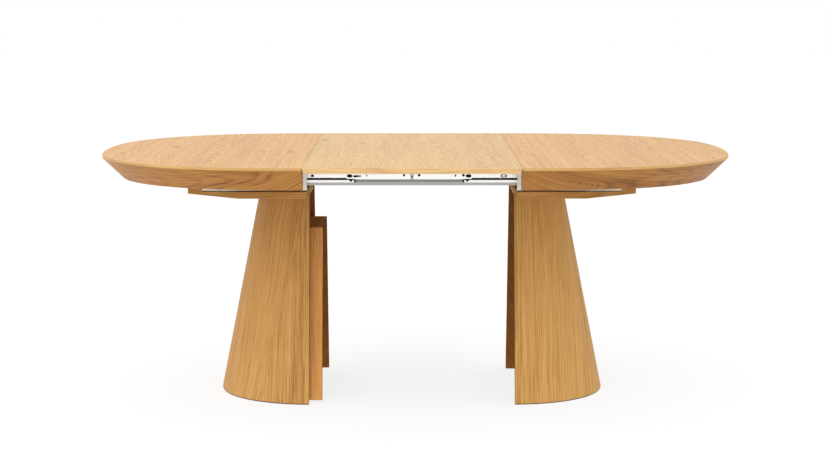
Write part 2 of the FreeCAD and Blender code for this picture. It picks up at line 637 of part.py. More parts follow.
def slide_caps(side, turned):
    """Plastic cap on the inner end of each slide bar, and the wiper strip that stands on the bar's neck."""
    start = S[f"{side}_slide_start"]
    neck_top = f"{S['slot_level']} + {S['mouth_half_height']} - {S['slide_play']}"
    pieces = []
    for edge, sign in EDGES:
        cap_start = f"{start} - {S['cap_length']}"
        pieces.append(slide_section(f"{side}Cap{edge}", sign, cap_start, S["cap_length"]))
        faces = (f"{sign} * {S[face]}" for face in ("wiper_inner", "wiper_outer"))
        near, away = sorted(faces, key=value_of)
        pieces.append(block(f"{side}Wiper{edge}", (f"{start} + {S['wiper_setback']}", near, neck_top),
                            (f"{start} + {S['slide_length']}", away, S["wiper_top"])))
    keep(fuse_all(f"{side}Caps", pieces), f"{side}_slide_caps", turned)


def flange_places(line, stations):
    """Screw positions on both rails of one half, at the given stations along them."""
    return [(station, f"{sign} * {S[line]}") for station in stations for _edge, sign in EDGES]


def half_screws(side, turned):
    """Screws of one half: rails to support board, rails to top board, pedestal to support board."""
    shank, head = S["screw_radius"], S["screw_head_radius"]
    foot_face = f"{RAIL_FOOT} + {S['flange_thickness']}"
    top_face = f"{BOARD_BOTTOM} - {S['flange_thickness']}"
    grip, rise = S["screw_grip"], S["screw_head_height"]
    screw_group(f"{side}_rail_screws", flange_places("foot_screw_line", FOOT_STATIONS), (head, shank),
                (foot_face, f"{foot_face} + {rise}"), (f"{SUPPORT_TOP} - {grip}", foot_face), turned)
    screw_group(f"{side}_top_screws", flange_places("top_screw_line", TOP_STATIONS), (head, shank),
                (f"{top_face} - {rise}", top_face), (top_face, f"{BOARD_BOTTOM} + {grip}"), turned)
    former_bottom = f"{S['shell_top']} - {S['former_thickness']}"
    near = f"{S['base_split']} + {S['bolt_place']}"
    places = [(near, f"{sign} * {S['bolt_line']}") for _edge, sign in EDGES]
    places.append((f"{S['base_split']} + {S['far_bolt_place']}", "0"))
    screw_group(f"{side}_pedestal_bolts", places, (S["bolt_head_radius"], S["bolt_radius"]),
                (f"{former_bottom} - {S['bolt_head_height']}", former_bottom),
                (former_bottom, f"{S['shell_top']} + {grip}"), turned)


# ---------------------------------------------------------------- centre frame and synchroniser
def cross_ties():
    """Two square tubes between the centre rails."""
    ties = []
    half, wall, low = f"{S['tie_width']} / 2", S["tie_wall"], S["tie_bottom"]
    high = f"{low} + {S['tie_height']}"
    for name, way in (("RightTie", 1), ("LeftTie", -1)):
        body = new_body(name)
        sketch = new_sketch(body, "XZ_Plane", f"{name}Sketch")
        middle = f"{way} * {S['tie_position']}"
        for inset in ("0", wall):
            rectangle(sketch, (f"{middle} - {half} + {inset}", f"{low} + {inset}"),
                      (f"{middle} + {half} - {inset}", f"{high} - {inset}"))
        pad(body, sketch, f"2 * {S['rail_inner']}", symmetric=True)
        ties.append(body)
    keep(fuse_all("CrossTies", ties), "cross_ties")


def pinion_plate():
    """Steel plate on the ties that holds the pinion's axle."""
    body = new_body("PinionPlate")
    sketch = new_sketch(body, "XY_Plane", "PlateSketch", PLATE_BOTTOM)
    long_half, wide_half, corner = S["plate_half_length"], S["plate_half_width"], S["plate_corner"]
    corners = []
    for way, side in ((-1, -1), (1, -1), (1, 1), (-1, 1)):
        cut_x = (f"{way} * ({long_half} - {corner})", f"{side} * {wide_half}")
        cut_y = (f"{way} * {long_half}", f"{side} * ({wide_half} - {corner})")
        corners += [cut_x, cut_y] if way * side < 0 else [cut_y, cut_x]
    outline(sketch, corners)
    circle(sketch, "0", "0", S["axle_radius"])
    pad(body, sketch, S["plate_thickness"])
    keep(body, "pinion_plate")


def pinion_axle():
    """Shouldered pin riveted in the plate, with a washer head over the pinion."""
    body = new_body("PinionAxle")
    sketch = new_sketch(body, "XZ_Plane", "AxleSketch")
    radius, collar = S["axle_radius"], f"{S['axle_radius']} + {S['axle_foot']}"
    low, neck = f"{PLATE_BOTTOM} - {S['axle_foot']}", f"{GEAR_TOP} + {S['gear_play']}"
    head = f"{neck} + {S['axle_head']}"
    outline(sketch, [("0", low), (collar, low), (collar, PLATE_BOTTOM), (radius, PLATE_BOTTOM),
                     (radius, neck), (collar, neck), (collar, head), ("0", head)])
    revolve(body, sketch)
    keep(body, "pinion_axle")


def involute(base, angle):
    """Point of an involute of a circle of radius base, unwound by angle, starting on +X."""
    return (base * (math.cos(angle) + angle * math.sin(angle)),
            base * (math.sin(angle) - angle * math.cos(angle)))


def sync_pinion():
    """Spur pinion: a blank with one tooth space cut out and repeated round the axis."""
    module, teeth = SIZES["tooth_module"], SIZES["pinion_teeth"]
    pitch, pressure = module * teeth / 2, math.radians(20)
    base, tip, root = pitch * math.cos(pressure), pitch + module, pitch - 1.25 * module
    body = new_body("SyncPinion")
    blank = new_sketch(body, "XY_Plane", "PinionBlank", S["gear_bottom"])
    circle(blank, "0", "0", f"{PITCH_RADIUS} + {S['tooth_module']}")
    circle(blank, "0", "0", f"{S['axle_radius']} + {S['axle_play']}")
    pad(body, blank, S["gear_height"])
    hub = new_sketch(body, "XY_Plane", "PinionHub", f"{PLATE_TOP} + {S['gear_play']}")
    circle(hub, "0", "0", f"{S['axle_radius']} + {S['hub_wall']}")
    circle(hub, "0", "0", f"{S['axle_radius']} + {S['axle_play']}")
    pad(body, hub, f"{S['gear_bottom']} - {PLATE_TOP} - {S['gear_play']}")

    # Half of a tooth space, about +X: flank from the root circle through the involute to past the tip.
    spread = math.tan(pressure) - pressure
    half_space = math.pi / (2 * teeth) + SIZES["backlash"] / (4 * pitch)
    radii = (base * 1.0005, (base + tip) / 2, tip + 0.4)
    unwinds = [math.sqrt((radius / base) ** 2 - 1) for radius in radii]
    flank = []
    for unwind in unwinds:
        out, over = involute(base, unwind)
        radius, angle = math.hypot(out, over), math.atan2(over, out)
        turned_to = half_space - spread + angle
        flank.append(Vector(radius * math.cos(turned_to), radius * math.sin(turned_to), 0))
    foot_angle = math.atan2(flank[0].y, flank[0].x)
    foot = Vector(root * math.cos(foot_angle), root * math.sin(foot_angle), 0)
    mirror = [Vector(point.x, -point.y, 0) for point in flank]
    space = new_sketch(body, "XY_Plane", "ToothSpace", GEAR_TOP)
    edges = [Part.LineSegment(foot, flank[0]), Part.Arc(*flank), Part.LineSegment(flank[2], mirror[2]),
             Part.Arc(mirror[2], mirror[1], mirror[0]),
             Part.LineSegment(mirror[0], Vector(foot.x, -foot.y, 0)),
             Part.LineSegment(Vector(foot.x, -foot.y, 0), foot)]
    for edge in edges:
        space.addGeometry(edge, False)
    cut = pocket(body, space, S["gear_height"])
    ring = body.newObject("PartDesign::PolarPattern", "ToothSpaces")
    ring.Originals = [cut]
    ring.Axis = ([item for item in body.Origin.OriginFeatures if item.Role == "Z_Axis"][0], [""])
    ring.Angle = 360
    ring.setExpression("Occurrences", S["pinion_teeth"])
    body.Tip = ring
    doc.recompute()
    keep(body, "sync_pinion")


def sync_rack(side, turned):
    """Toothed bar fixed to one half: its teeth face the pinion across the table's middle line."""
    body = new_body(f"{side}Rack")
    bar = new_sketch(body, "XY_Plane", f"{side}RackBar", S["gear_bottom"])
    module = S["tooth_module"]
    tip = f"(-1 * ({PITCH_RADIUS} - {module}))"
    back = f"(-1 * ({PITCH_RADIUS} + {S['rack_depth']}))"
    rectangle(bar, (RACK_START, back), (RACK_END, tip))
    pad(body, bar, S["gear_height"])
    # One gap: at the pitch line it is half a pitch wide plus the backlash, with flanks at 20 degrees.
    gap = new_sketch(body, "XY_Plane", f"{side}RackGap", GEAR_TOP)
    slope = math.tan(math.radians(20))
    middle = f"({RACK_START} + {PITCH})"
    half = f"({PITCH} / 4 + {S['backlash']} / 4)"
    deep = f"(-1 * ({PITCH_RADIUS} + 1.25 * {module}))"
    open_edge = f"({tip} + 1)"
    at_deep = f"({half} - 1.25 * {module} * {slope})"
    at_open = f"({half} + ({module} + 1) * {slope})"
    outline(gap, [(f"{middle} - {at_deep}", deep), (f"{middle} + {at_deep}", deep),
                  (f"{middle} + {at_open}", open_edge), (f"{middle} - {at_open}", open_edge)])
    cut = pocket(body, gap, S["gear_height"])
    line_pattern(body, cut, "X_Axis", PITCH, f"{S['rack_gaps']} - 1")
    keep(body, f"{side}_sync_rack", turned)


def rack_bracket(side, turned):
    """Block that hangs from the half top and holds the tail of the rack, screwed from below."""
    width = S["bracket_width"]
    middle = f"(-1 * ({PITCH_RADIUS} + {S['rack_depth']} / 2))"
    start = f"({RACK_END} - {S['rack_tail']} + {S['bracket_setback']})"
    body = new_body(f"{side}RackBracket")
    sketch = new_sketch(body, "XY_Plane", f"{side}BracketSketch", GEAR_TOP)
    rectangle(sketch, (start, f"{middle} - {width} / 2"),
              (f"{start} + {S['bracket_length']}", f"{middle} + {width} / 2"))
    pad(body, sketch, f"{BOARD_BOTTOM} - {GEAR_TOP}")
    keep(body, f"{side}_rack_bracket", turned)


def rack_guides():
    """Nylon shoes on the plate that carry the racks and keep them against the pinion."""
    shoes = []
    inner = f"({PITCH_RADIUS} + {S['shoe_start']})"
    outer = f"({PITCH_RADIUS} + {S['rack_depth']} + {S['gear_play']})"
    back, top = f"{outer} + {S['shoe_wall']}", f"{GEAR_TOP} - {S['shoe_drop']}"
    seat = f"{S['gear_bottom']} - {S['gear_play']}"
    for edge, sign in EDGES:
        body = new_body(f"RackGuide{edge}")
        sketch = new_sketch(body, "YZ_Plane", f"RackGuide{edge}Sketch")
        outline(sketch, on_side(sign, [(inner, PLATE_TOP), (back, PLATE_TOP), (back, top), (outer, top),
                                       (outer, seat), (inner, seat)]))
        pad(body, sketch, S["shoe_length"], symmetric=True)
        shoes.append(body)
    keep(fuse_all("RackGuides", shoes), "rack_guides")


# ---------------------------------------------------------------- leaf
def leaf_board():
    """Loose board with undercut ends, so that its seams close at the top face."""
    body = new_body("LeafBoard")
    sketch = new_sketch(body, "XZ_Plane", "LeafSketch")
    end = f"({S['leaf_length']} / 2 - {S['joint_gap']} / 2)"
    under = f"({end} - {S['leaf_undercut']})"
    outline(sketch, [(f"-1 * {under}", BOARD_BOTTOM), (under, BOARD_BOTTOM), (end, S["table_height"]),
                     (f"-1 * {end}", S["table_height"])])
    pad(body, sketch, f"2 * {S['half_width']}", symmetric=True)
    holes = new_sketch(body, "XY_Plane", "LeafPinHoles", BOARD_BOTTOM)
    for _edge, sign in EDGES:
        for way in (-1, 1):
            circle(holes, f"{way} * {S['pin_position']}", f"{sign} * {S['pin_line']}", S["pin_radius"])
    pocket(body, holes, S["pin_grip"], backwards=True)
    keep(body, "leaf_board")


def leaf_pins():
    """Wooden locating pins glued into the leaf."""
    pins = []
    tip = f"{BOARD_BOTTOM} + {S['pin_grip']} - {S['pin_length']}"
    for number, (way, sign) in enumerate(((-1, -1), (1, -1), (1, 1), (-1, 1))):
        pin = doc.addObject("Part::Cylinder", f"LeafPin{number}")
        pin.setExpression("Radius", f"1 mm * {S['pin_radius']}")
        pin.setExpression("Height", f"1 mm * {S['pin_length']}")
        pin.setExpression("Placement.Base.x", f"1 mm * {way} * {S['pin_position']}")
        pin.setExpression("Placement.Base.y", f"1 mm * {sign} * {S['pin_line']}")
        pin.setExpression("Placement.Base.z", f"1 mm * ({tip})")
        pins.append(pin)
    keep(fuse_all("LeafPins", pins), "leaf_pins")


def leaf_pads():
    """Rubber strips under the leaf, which sit on the carriers."""
    strips = []
    for edge, sign in EDGES:
        near, away = sorted((f"{sign} * {S[line]}" for line in ("pad_inner", "pad_outer")), key=value_of)
        for number, way in enumerate((-1, 1)):
            start, stop = sorted((f"{way} * {S[end]}" for end in ("pad_start", "pad_end")), key=value_of)
            strips.append(block(f"LeafPad{edge}{number}", (start, near, CARRIER_TOP),
                                (stop, away, BOARD_BOTTOM)))
    keep(fuse_all("LeafPads", strips), "leaf_pads")


# ---------------------------------------------------------------- small parts on the carriers
def upright_button(name, sign, place, level, height, radius, stretch):
    """Obround boss standing on the carrier's outer face."""
    body = new_body(name)
    sketch = new_sketch(body, "XZ_Plane", f"{name}Sketch", f"-1 * {sign} * {CARRIER_FACE}")
    slot_hole(sketch, place, level, radius, stretch)
    pad(body, sketch, height, backwards=sign > 0)
    return body


def stop_buttons():
    """Plastic buttons on the carriers over the parked ends of the slide bars."""
    right, left = S["button_position"], f"-1 * {S['lever_position']}"
    buttons = [upright_button(f"StopButton{number}", sign, place, S["button_level"], S["button_height"],
                              S["button_radius"], S["button_stretch"])
               for number, (sign, place) in enumerate(((-1, right), (1, right), (1, left)))]
    keep(fuse_all("StopButtons", buttons), "stop_buttons")


def lock_lever():
    """Travel lock: a boss with a thin finger, turning on a rivet in the front carrier."""
    start, level, thick = f"-1 * {S['lever_position']}", S["button_level"], S["lever_thickness"]
    body = upright_button("LockLever", -1, start, level, thick, S["button_radius"], S["button_stretch"])
    finger = new_sketch(body, "XZ_Plane", "LockFinger", CARRIER_FACE)
    reach, tip_top = f"{start} + {S['lever_reach']}", f"{level} + {S['finger_tip']} - {S['finger_drop']}"
    outline(finger, [(start, f"{level} - {S['finger_root']}"), (reach, f"{level} - {S['finger_drop']}"),
                     (reach, tip_top), (start, tip_top)])
    pad(body, finger, thick)
    bore = new_sketch(body, "XZ_Plane", "LockBore", f"{CARRIER_FACE} + {thick}")
    circle(bore, start, level, S["lever_bore"])
    pocket(body, bore, thick)
    keep(body, "lock_lever")


def lever_rivet():
    """Rivet that the lock lever turns on."""
    body = new_body("LeverRivet")
    place, level = f"-1 * {S['lever_position']}", S["button_level"]
    length = f"{S['lever_thickness']} + {S['lever_rivet_play']}"
    shank = new_sketch(body, "XZ_Plane", "RivetShank", CARRIER_FACE)
    circle(shank, place, level, S["lever_rivet_shank"])
    pad(body, shank, length)
    head = new_sketch(body, "XZ_Plane", "RivetHead", f"{CARRIER_FACE} + {length}")
    circle(head, place, level, S["lever_rivet_head"])
    pad(body, head, S["lever_rivet_height"])
    keep(body, "lever_rivet")


def carrier_rivets():
    """Domed rivets that fix each carrier to its rail."""
    rivets = []
    for edge, sign in EDGES:
        for number, place in enumerate(RIVET_PLACES):
            body = new_body(f"Rivet{edge}{number}")
            head = new_sketch(body, "XZ_Plane", f"Rivet{edge}{number}Head", f"-1 * {sign} * {CARRIER_FACE}")
            circle(head, place, S["button_level"], S["rivet_radius"])
            pad(body, head, S["rivet_height"], backwards=sign > 0)
            rivets.append(body)
    keep(fuse_all("CarrierRivets", rivets), "carrier_rivets")


# ---------------------------------------------------------------- build everything
for side, turned in SIDES:
    top_board(side, turned)
    apron(side, turned)
    joint_plates(side, turned)
    joint_stiffener(side, turned)
    support_board(side, turned)
    pedestal_shell(side, turned)
    guide_room = f"{S['shell_wall']} + {S['guide_gap']} + {S['guide_wall']}"
    narrow = guide_room if side == "left" else S["shell_wall"]
    room = S["former_setback"] if side == "left" else S["guide_room"]
    former(side, turned, "Foot", S["foot_former_level"], narrow, room)
    former(side, turned, "Mid", S["mid_former_level"], narrow, room)
    head_level = f"{S['shell_top']} - {S['former_thickness']}"
    former(side, turned, "Head", head_level, S["shell_wall"], S["end_setback"])
    glides(side, turned)
    for edge, sign in EDGES:
        mirrored = -sign if turned else sign
        outer_rail(side, turned, edge, mirrored)
        slide_bar(side, turned, edge, mirrored)
    rail_packers(side, turned)
    slide_caps(side, turned)
    sync_rack(side, turned)
    rack_bracket(side, turned)
    half_screws(side, turned)

guide_shell(True)
guide_spacers(True)
for edge, sign in EDGES:
    centre_rail(edge, sign)
    carrier(edge, sign)
cross_ties()
pinion_plate()
pinion_axle()
sync_pinion()
rack_guides()
leaf_board()
leaf_pins()
leaf_pads()
stop_buttons()
lock_lever()
lever_rivet()
carrier_rivets()

# ---------------------------------------------------------------- check and write
doc.recompute()
for item in doc.Objects:
    if "Invalid" in item.State or "Error" in item.State:
        raise RuntimeError(f"{item.Name} failed: {item.State}")
os.makedirs("parts", exist_ok=True)
for piece in PARTS:
    if piece.Shape.isNull() or not piece.Shape.isValid():
        raise RuntimeError(f"{piece.Label} has no valid shape")
    piece.Shape.exportStep(f"parts/{piece.Label}.step")
    print(piece.Label, round(piece.Shape.Volume / 1000), "cm3", len(piece.Shape.Solids), "solids")
print(len(PARTS), "parts")
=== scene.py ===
"""Looks of a rounded split-pedestal table, drawn out with its loose leaf in, around its packed construction.

The wooden pieces are modelled here with a grain map of their own, in metres: the map's first axis
runs along the fibres and its second across them. Metal and plastic pieces keep the construction's
meshes and get their finishes here. All sizes are metres in the construction's own frame.
"""

import logging
import math
from dataclasses import dataclass, field
from enum import Enum
from typing import Callable, Sequence

import bpy
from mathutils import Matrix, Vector


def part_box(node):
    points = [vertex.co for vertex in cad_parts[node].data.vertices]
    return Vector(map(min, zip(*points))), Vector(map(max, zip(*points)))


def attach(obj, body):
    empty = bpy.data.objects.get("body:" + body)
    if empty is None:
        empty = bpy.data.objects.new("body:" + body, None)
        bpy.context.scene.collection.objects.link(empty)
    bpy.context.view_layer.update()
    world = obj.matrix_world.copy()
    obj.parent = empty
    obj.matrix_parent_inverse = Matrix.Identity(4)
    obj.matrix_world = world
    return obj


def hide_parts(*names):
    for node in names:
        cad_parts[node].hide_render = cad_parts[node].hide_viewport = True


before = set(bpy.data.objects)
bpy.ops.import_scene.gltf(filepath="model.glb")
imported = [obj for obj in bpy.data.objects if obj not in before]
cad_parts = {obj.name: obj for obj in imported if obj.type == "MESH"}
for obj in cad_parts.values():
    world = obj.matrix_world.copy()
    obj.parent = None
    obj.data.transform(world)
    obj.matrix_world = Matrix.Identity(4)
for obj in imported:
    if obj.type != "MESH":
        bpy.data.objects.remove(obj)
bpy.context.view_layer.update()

log = logging.getLogger("split_pedestal_table")

GRAIN_MAP = "grain"
SENSOR_WIDTH = 36.0
MILLIMETRE = 0.001
CORNER_SCALE = 1e7      # corners of a new mesh are compared in whole parts of a metre, so many to one
VERTEX_SCALE = 1e6      # and so are the vertices of a construction mesh
SHARP_ANGLE = math.radians(30)

Colour = tuple[float, float, float]
Screen = tuple[int, int, int]
Point = tuple[float, float, float]
GrainRule = Callable[[Vector], tuple[float, float]]


class Side(Enum):
    """Half of the table, with the sign of its X."""

    LEFT = -1
    RIGHT = 1

    @property
    def word(self) -> str:
        """Name of the side as the construction's nodes write it."""
        return self.name.lower()


def colour(red: int, green: int, blue: int) -> Colour:
    """Scene-linear colour of a finish that is known by its screen values.

    Args:
        red: Screen value from 0 to 255.
        green: Screen value from 0 to 255.
        blue: Screen value from 0 to 255.

    Returns:
        The three linear channels.
    """
    knee, foot, gain, lift, power = 0.04045, 12.92, 1.055, 0.055, 2.4
    shares = (value / 255 for value in (red, green, blue))
    return tuple(share / foot if share <= knee else ((share + lift) / gain) ** power for share in shares)


# ---------------------------------------------------------------- node trees
class Value:
    """Number, vector or mesh inside a node tree; numbers join others by plain arithmetic."""

    def __init__(self, sheet: "NodeSheet", socket: bpy.types.NodeSocket) -> None:
        """Stand for one output socket of a tree."""
        self.sheet = sheet
        self.socket = socket

    def __add__(self, other: object) -> "Value":
        """Sum with another value or a number."""
        return self.sheet.math("ADD", self, other)

    def __sub__(self, other: object) -> "Value":
        """This value less another value or a number."""
        return self.sheet.math("SUBTRACT", self, other)

    def __rsub__(self, other: float) -> "Value":
        """A number less this value."""
        return self.sheet.math("SUBTRACT", other, self)

    def __mul__(self, other: object) -> "Value":
        """Product with another value or a number."""
        return self.sheet.math("MULTIPLY", self, other)

    def __truediv__(self, other: object) -> "Value":
        """This value shared out by another value or a number."""
        return self.sheet.math("DIVIDE", self, other)


class NodeSheet:
    """A node tree with short calls that add nodes and join them."""

    def __init__(self, tree: bpy.types.NodeTree) -> None:
        """Start on an existing tree."""
        self.tree = tree

    def feed(self, socket: bpy.types.NodeSocket, value: object) -> None:
        """Join a socket to a value of the tree, or set its own value.

        Args:
            socket: Input to be fed.
            value: Value of the tree, plain value, or None to leave the input as it is.
        """
        if isinstance(value, Value):
            self.tree.links.new(value.socket, socket)
        elif value is not None:
            wide = hasattr(socket.default_value, "__len__") and len(socket.default_value) == 4
            socket.default_value = (*value, 1.0) if wide and len(value) == 3 else value

    def node(self, kind: str, *inputs: object, named: dict[str, object] | None = None,
             **settings: object) -> bpy.types.Node:
        """Add one node.

        Args:
            kind: Blender's type name of the node.
            *inputs: Values for its inputs, in order.
            named: Values for inputs given by name.
            **settings: Properties of the node, set before its inputs.

        Returns:
            The node.
        """
        node = self.tree.nodes.new(kind)
        for word, value in settings.items():
            setattr(node, word, value)
        for socket, value in zip(node.inputs, inputs):
            self.feed(socket, value)
        for word, value in (named or {}).items():
            self.feed(node.inputs[word], value)
        return node

    def add(self, kind: str, *inputs: object, output: int | str = 0, **rest: object) -> Value:
        """One output of a new node.

        Args:
            kind: Blender's type name of the node.
            *inputs: Values for its inputs, in order.
            output: Number or name of the output.
            **rest: Named inputs and settings, as for node().

        Returns:
            The output's value.
        """
        return Value(self, self.node(kind, *inputs, **rest).outputs[output])

    def math(self, operation: str, *inputs: object) -> Value:
        """Result of one Math node."""
        return self.add("ShaderNodeMath", *inputs, operation=operation)

    def fade(self, value: object, low: object, high: object, at_low: object = 0.0,
             at_high: object = 1.0) -> Value:
        """Smooth step of value between two limits, mapped to two results."""
        return self.add("ShaderNodeMapRange", value, low, high, at_low, at_high,
                        interpolation_type="SMOOTHSTEP")

    def vector(self, x: object = 0.0, y: object = 0.0, z: object = 0.0) -> Value:
        """Vector of three numbers or values."""
        return self.add("ShaderNodeCombineXYZ", x, y, z)

    def split(self, vector: Value) -> list[Value]:
        """The three numbers of a vector."""
        return [Value(self, socket) for socket in self.node("ShaderNodeSeparateXYZ", vector).outputs]


class Shader(NodeSheet):
    """A new material with one Principled shader."""

    def __init__(self, name: str) -> None:
        """Make the material and find its shader.

        Args:
            name: Name of the material.
        """
        self.material = bpy.data.materials.new(name)
        self.material.use_nodes = True
        super().__init__(self.material.node_tree)
        self.surface = self.tree.nodes["Principled BSDF"]

    def noise(self, place: Value, detail: float = 2.0, roughness: float = 0.5) -> Value:
        """Noise about 0.5 at a place that already carries its scale."""
        return self.add("ShaderNodeTexNoise", named={
            "Vector": place, "Scale": 1.0, "Detail": detail, "Roughness": roughness})

    def ramp(self, share: object, stops: Sequence[tuple[float, Colour]]) -> Value:
        """Colour ramp.

        Args:
            share: Number or value from 0 to 1.
            stops: Places on the ramp with their linear colours, from low to high.

        Returns:
            The colour.
        """
        node = self.node("ShaderNodeValToRGB", share)
        elements = node.color_ramp.elements
        while len(elements) < len(stops):
            elements.new(1.0)
        for element, (place, shade) in zip(elements, stops):
            element.position = place
            element.color = (*shade, 1.0)
        return Value(self, node.outputs[0])

    def mix(self, share: object, first: object, second: object) -> Value:
        """Blend of two colours.

        Args:
            share: How much of the second one shows.
            first: Colour at a share of 0.
            second: Colour at a share of 1.

        Returns:
            The blended colour.
        """
        node = self.node("ShaderNodeMix", data_type="RGBA")
        colours = [socket for socket in node.inputs if socket.type == "RGBA"]
        for socket, value in zip((node.inputs[0], *colours), (share, first, second)):
            self.feed(socket, value)
        return next(Value(self, socket) for socket in node.outputs if socket.type == "RGBA")

    def grain_place(self) -> tuple[Value, Value]:
        """The piece's own grain map: distance along the fibres and across them."""
        along, across, _ = self.split(self.add("ShaderNodeUVMap", uv_map=GRAIN_MAP))
        return along, across

    def place(self) -> list[Value]:
        """Object coordinates as three numbers."""
        return self.split(self.add("ShaderNodeTexCoord", output="Object"))

    def mottle(self, pitches: Point, detail: float = 2.0, roughness: float = 0.5) -> Value:
        """Noise about 0.5 over the object's coordinates, with its repeats per metre on each axis."""
        place = self.vector(*(axis * pitch for axis, pitch in zip(self.place(), pitches)))
        return self.noise(place, detail, roughness)

    def dress(self, base: object, roughness: object, height: object = None, depth: float = 0.0,
              **even: float) -> bpy.types.Material:
        """Join the surface and close the material.

        Args:
            base: Base colour, as a value or a linear colour.
            roughness: Roughness, as a value or a number.
            height: Relief, or None for a smooth surface.
            depth: Real height in metres that a relief of 1 stands for.
            **even: Further shader inputs that are the same all over; underscores stand for spaces.

        Returns:
            The material.
        """
        self.feed(self.surface.inputs["Base Color"], base)
        self.feed(self.surface.inputs["Roughness"], roughness)
        for word, value in even.items():
            self.surface.inputs[word.replace("_", " ")].default_value = value
        if height is not None:
            relief = self.add("ShaderNodeBump", named={"Height": height, "Distance": depth})
            self.feed(self.surface.inputs["Normal"], relief)
        return self.material


# ---------------------------------------------------------------- finishes
def share_of(shade: Colour, share: float) -> Colour:
    """A shade made darker or lighter, up to white."""
    return tuple(min(1.0, part * share) for part in shade)


@dataclass(frozen=True)
class Weave:
    """Noise drawn out along the fibres: its repeats per metre along and across them, and its fineness."""

    along: float
    across: float
    detail: float = 2.0
    roughness: float = 0.5

    def on(self, sheet: Shader, along: Value, across: Value, chance: object = 0.0,
           stretch: float = 1.0) -> Value:
        """The noise about 0.5 at a place on the grain map.

        Args:
            sheet: Material that it goes into.
            along: Distance along the fibres.
            across: Distance across them.
            chance: Number that sets one veneer sheet apart from the next.
            stretch: How many times longer than usual it is along the fibres.

        Returns:
            The noise.
        """
        place = sheet.vector(along * (self.along / stretch), across * self.across, chance)
        return sheet.noise(place, self.detail, self.roughness)


PATCHES = Weave(2.5, 14)        # where the growth rings stand out
STREAKS = Weave(1.6, 52)
TONES = Weave(0.9, 7)
SWELLS = Weave(4.5, 16)
FIBRES = Weave(12, 480, 3.0, 0.6)
PORES = Weave(55, 1500, 2.0, 0.7)
KNOT_BARK = Weave(90, 160, 3.0)
RING_DARKNESS = ((0.0, 0.45), (0.16, 0.0), (0.55, 0.18), (0.9, 1.0), (1.0, 0.45))


@dataclass(frozen=True)
class Knot:
    """Knot in a sheet of veneer, at its place on the grain map."""

    along: float
    across: float
    radius: float
    darkness: float = 0.8
    swirl: float = 3.0


@dataclass(frozen=True)
class Flame:
    """Oval nest of growth rings, where the cut runs level with them."""

    along: float
    across: float
    length: float
    width: float
    rings: float


@dataclass(frozen=True)
class Seam:
    """Seam between two veneer sheets on the grain map, past which the next sheet's grain is turned.

    The seam is the line across = origin + start + slope * along, and the grain past it turns about
    the place where across is origin and along is 0.
    """

    origin: float
    start: float
    slope: float
    turn: float
    jump: float = 7.0


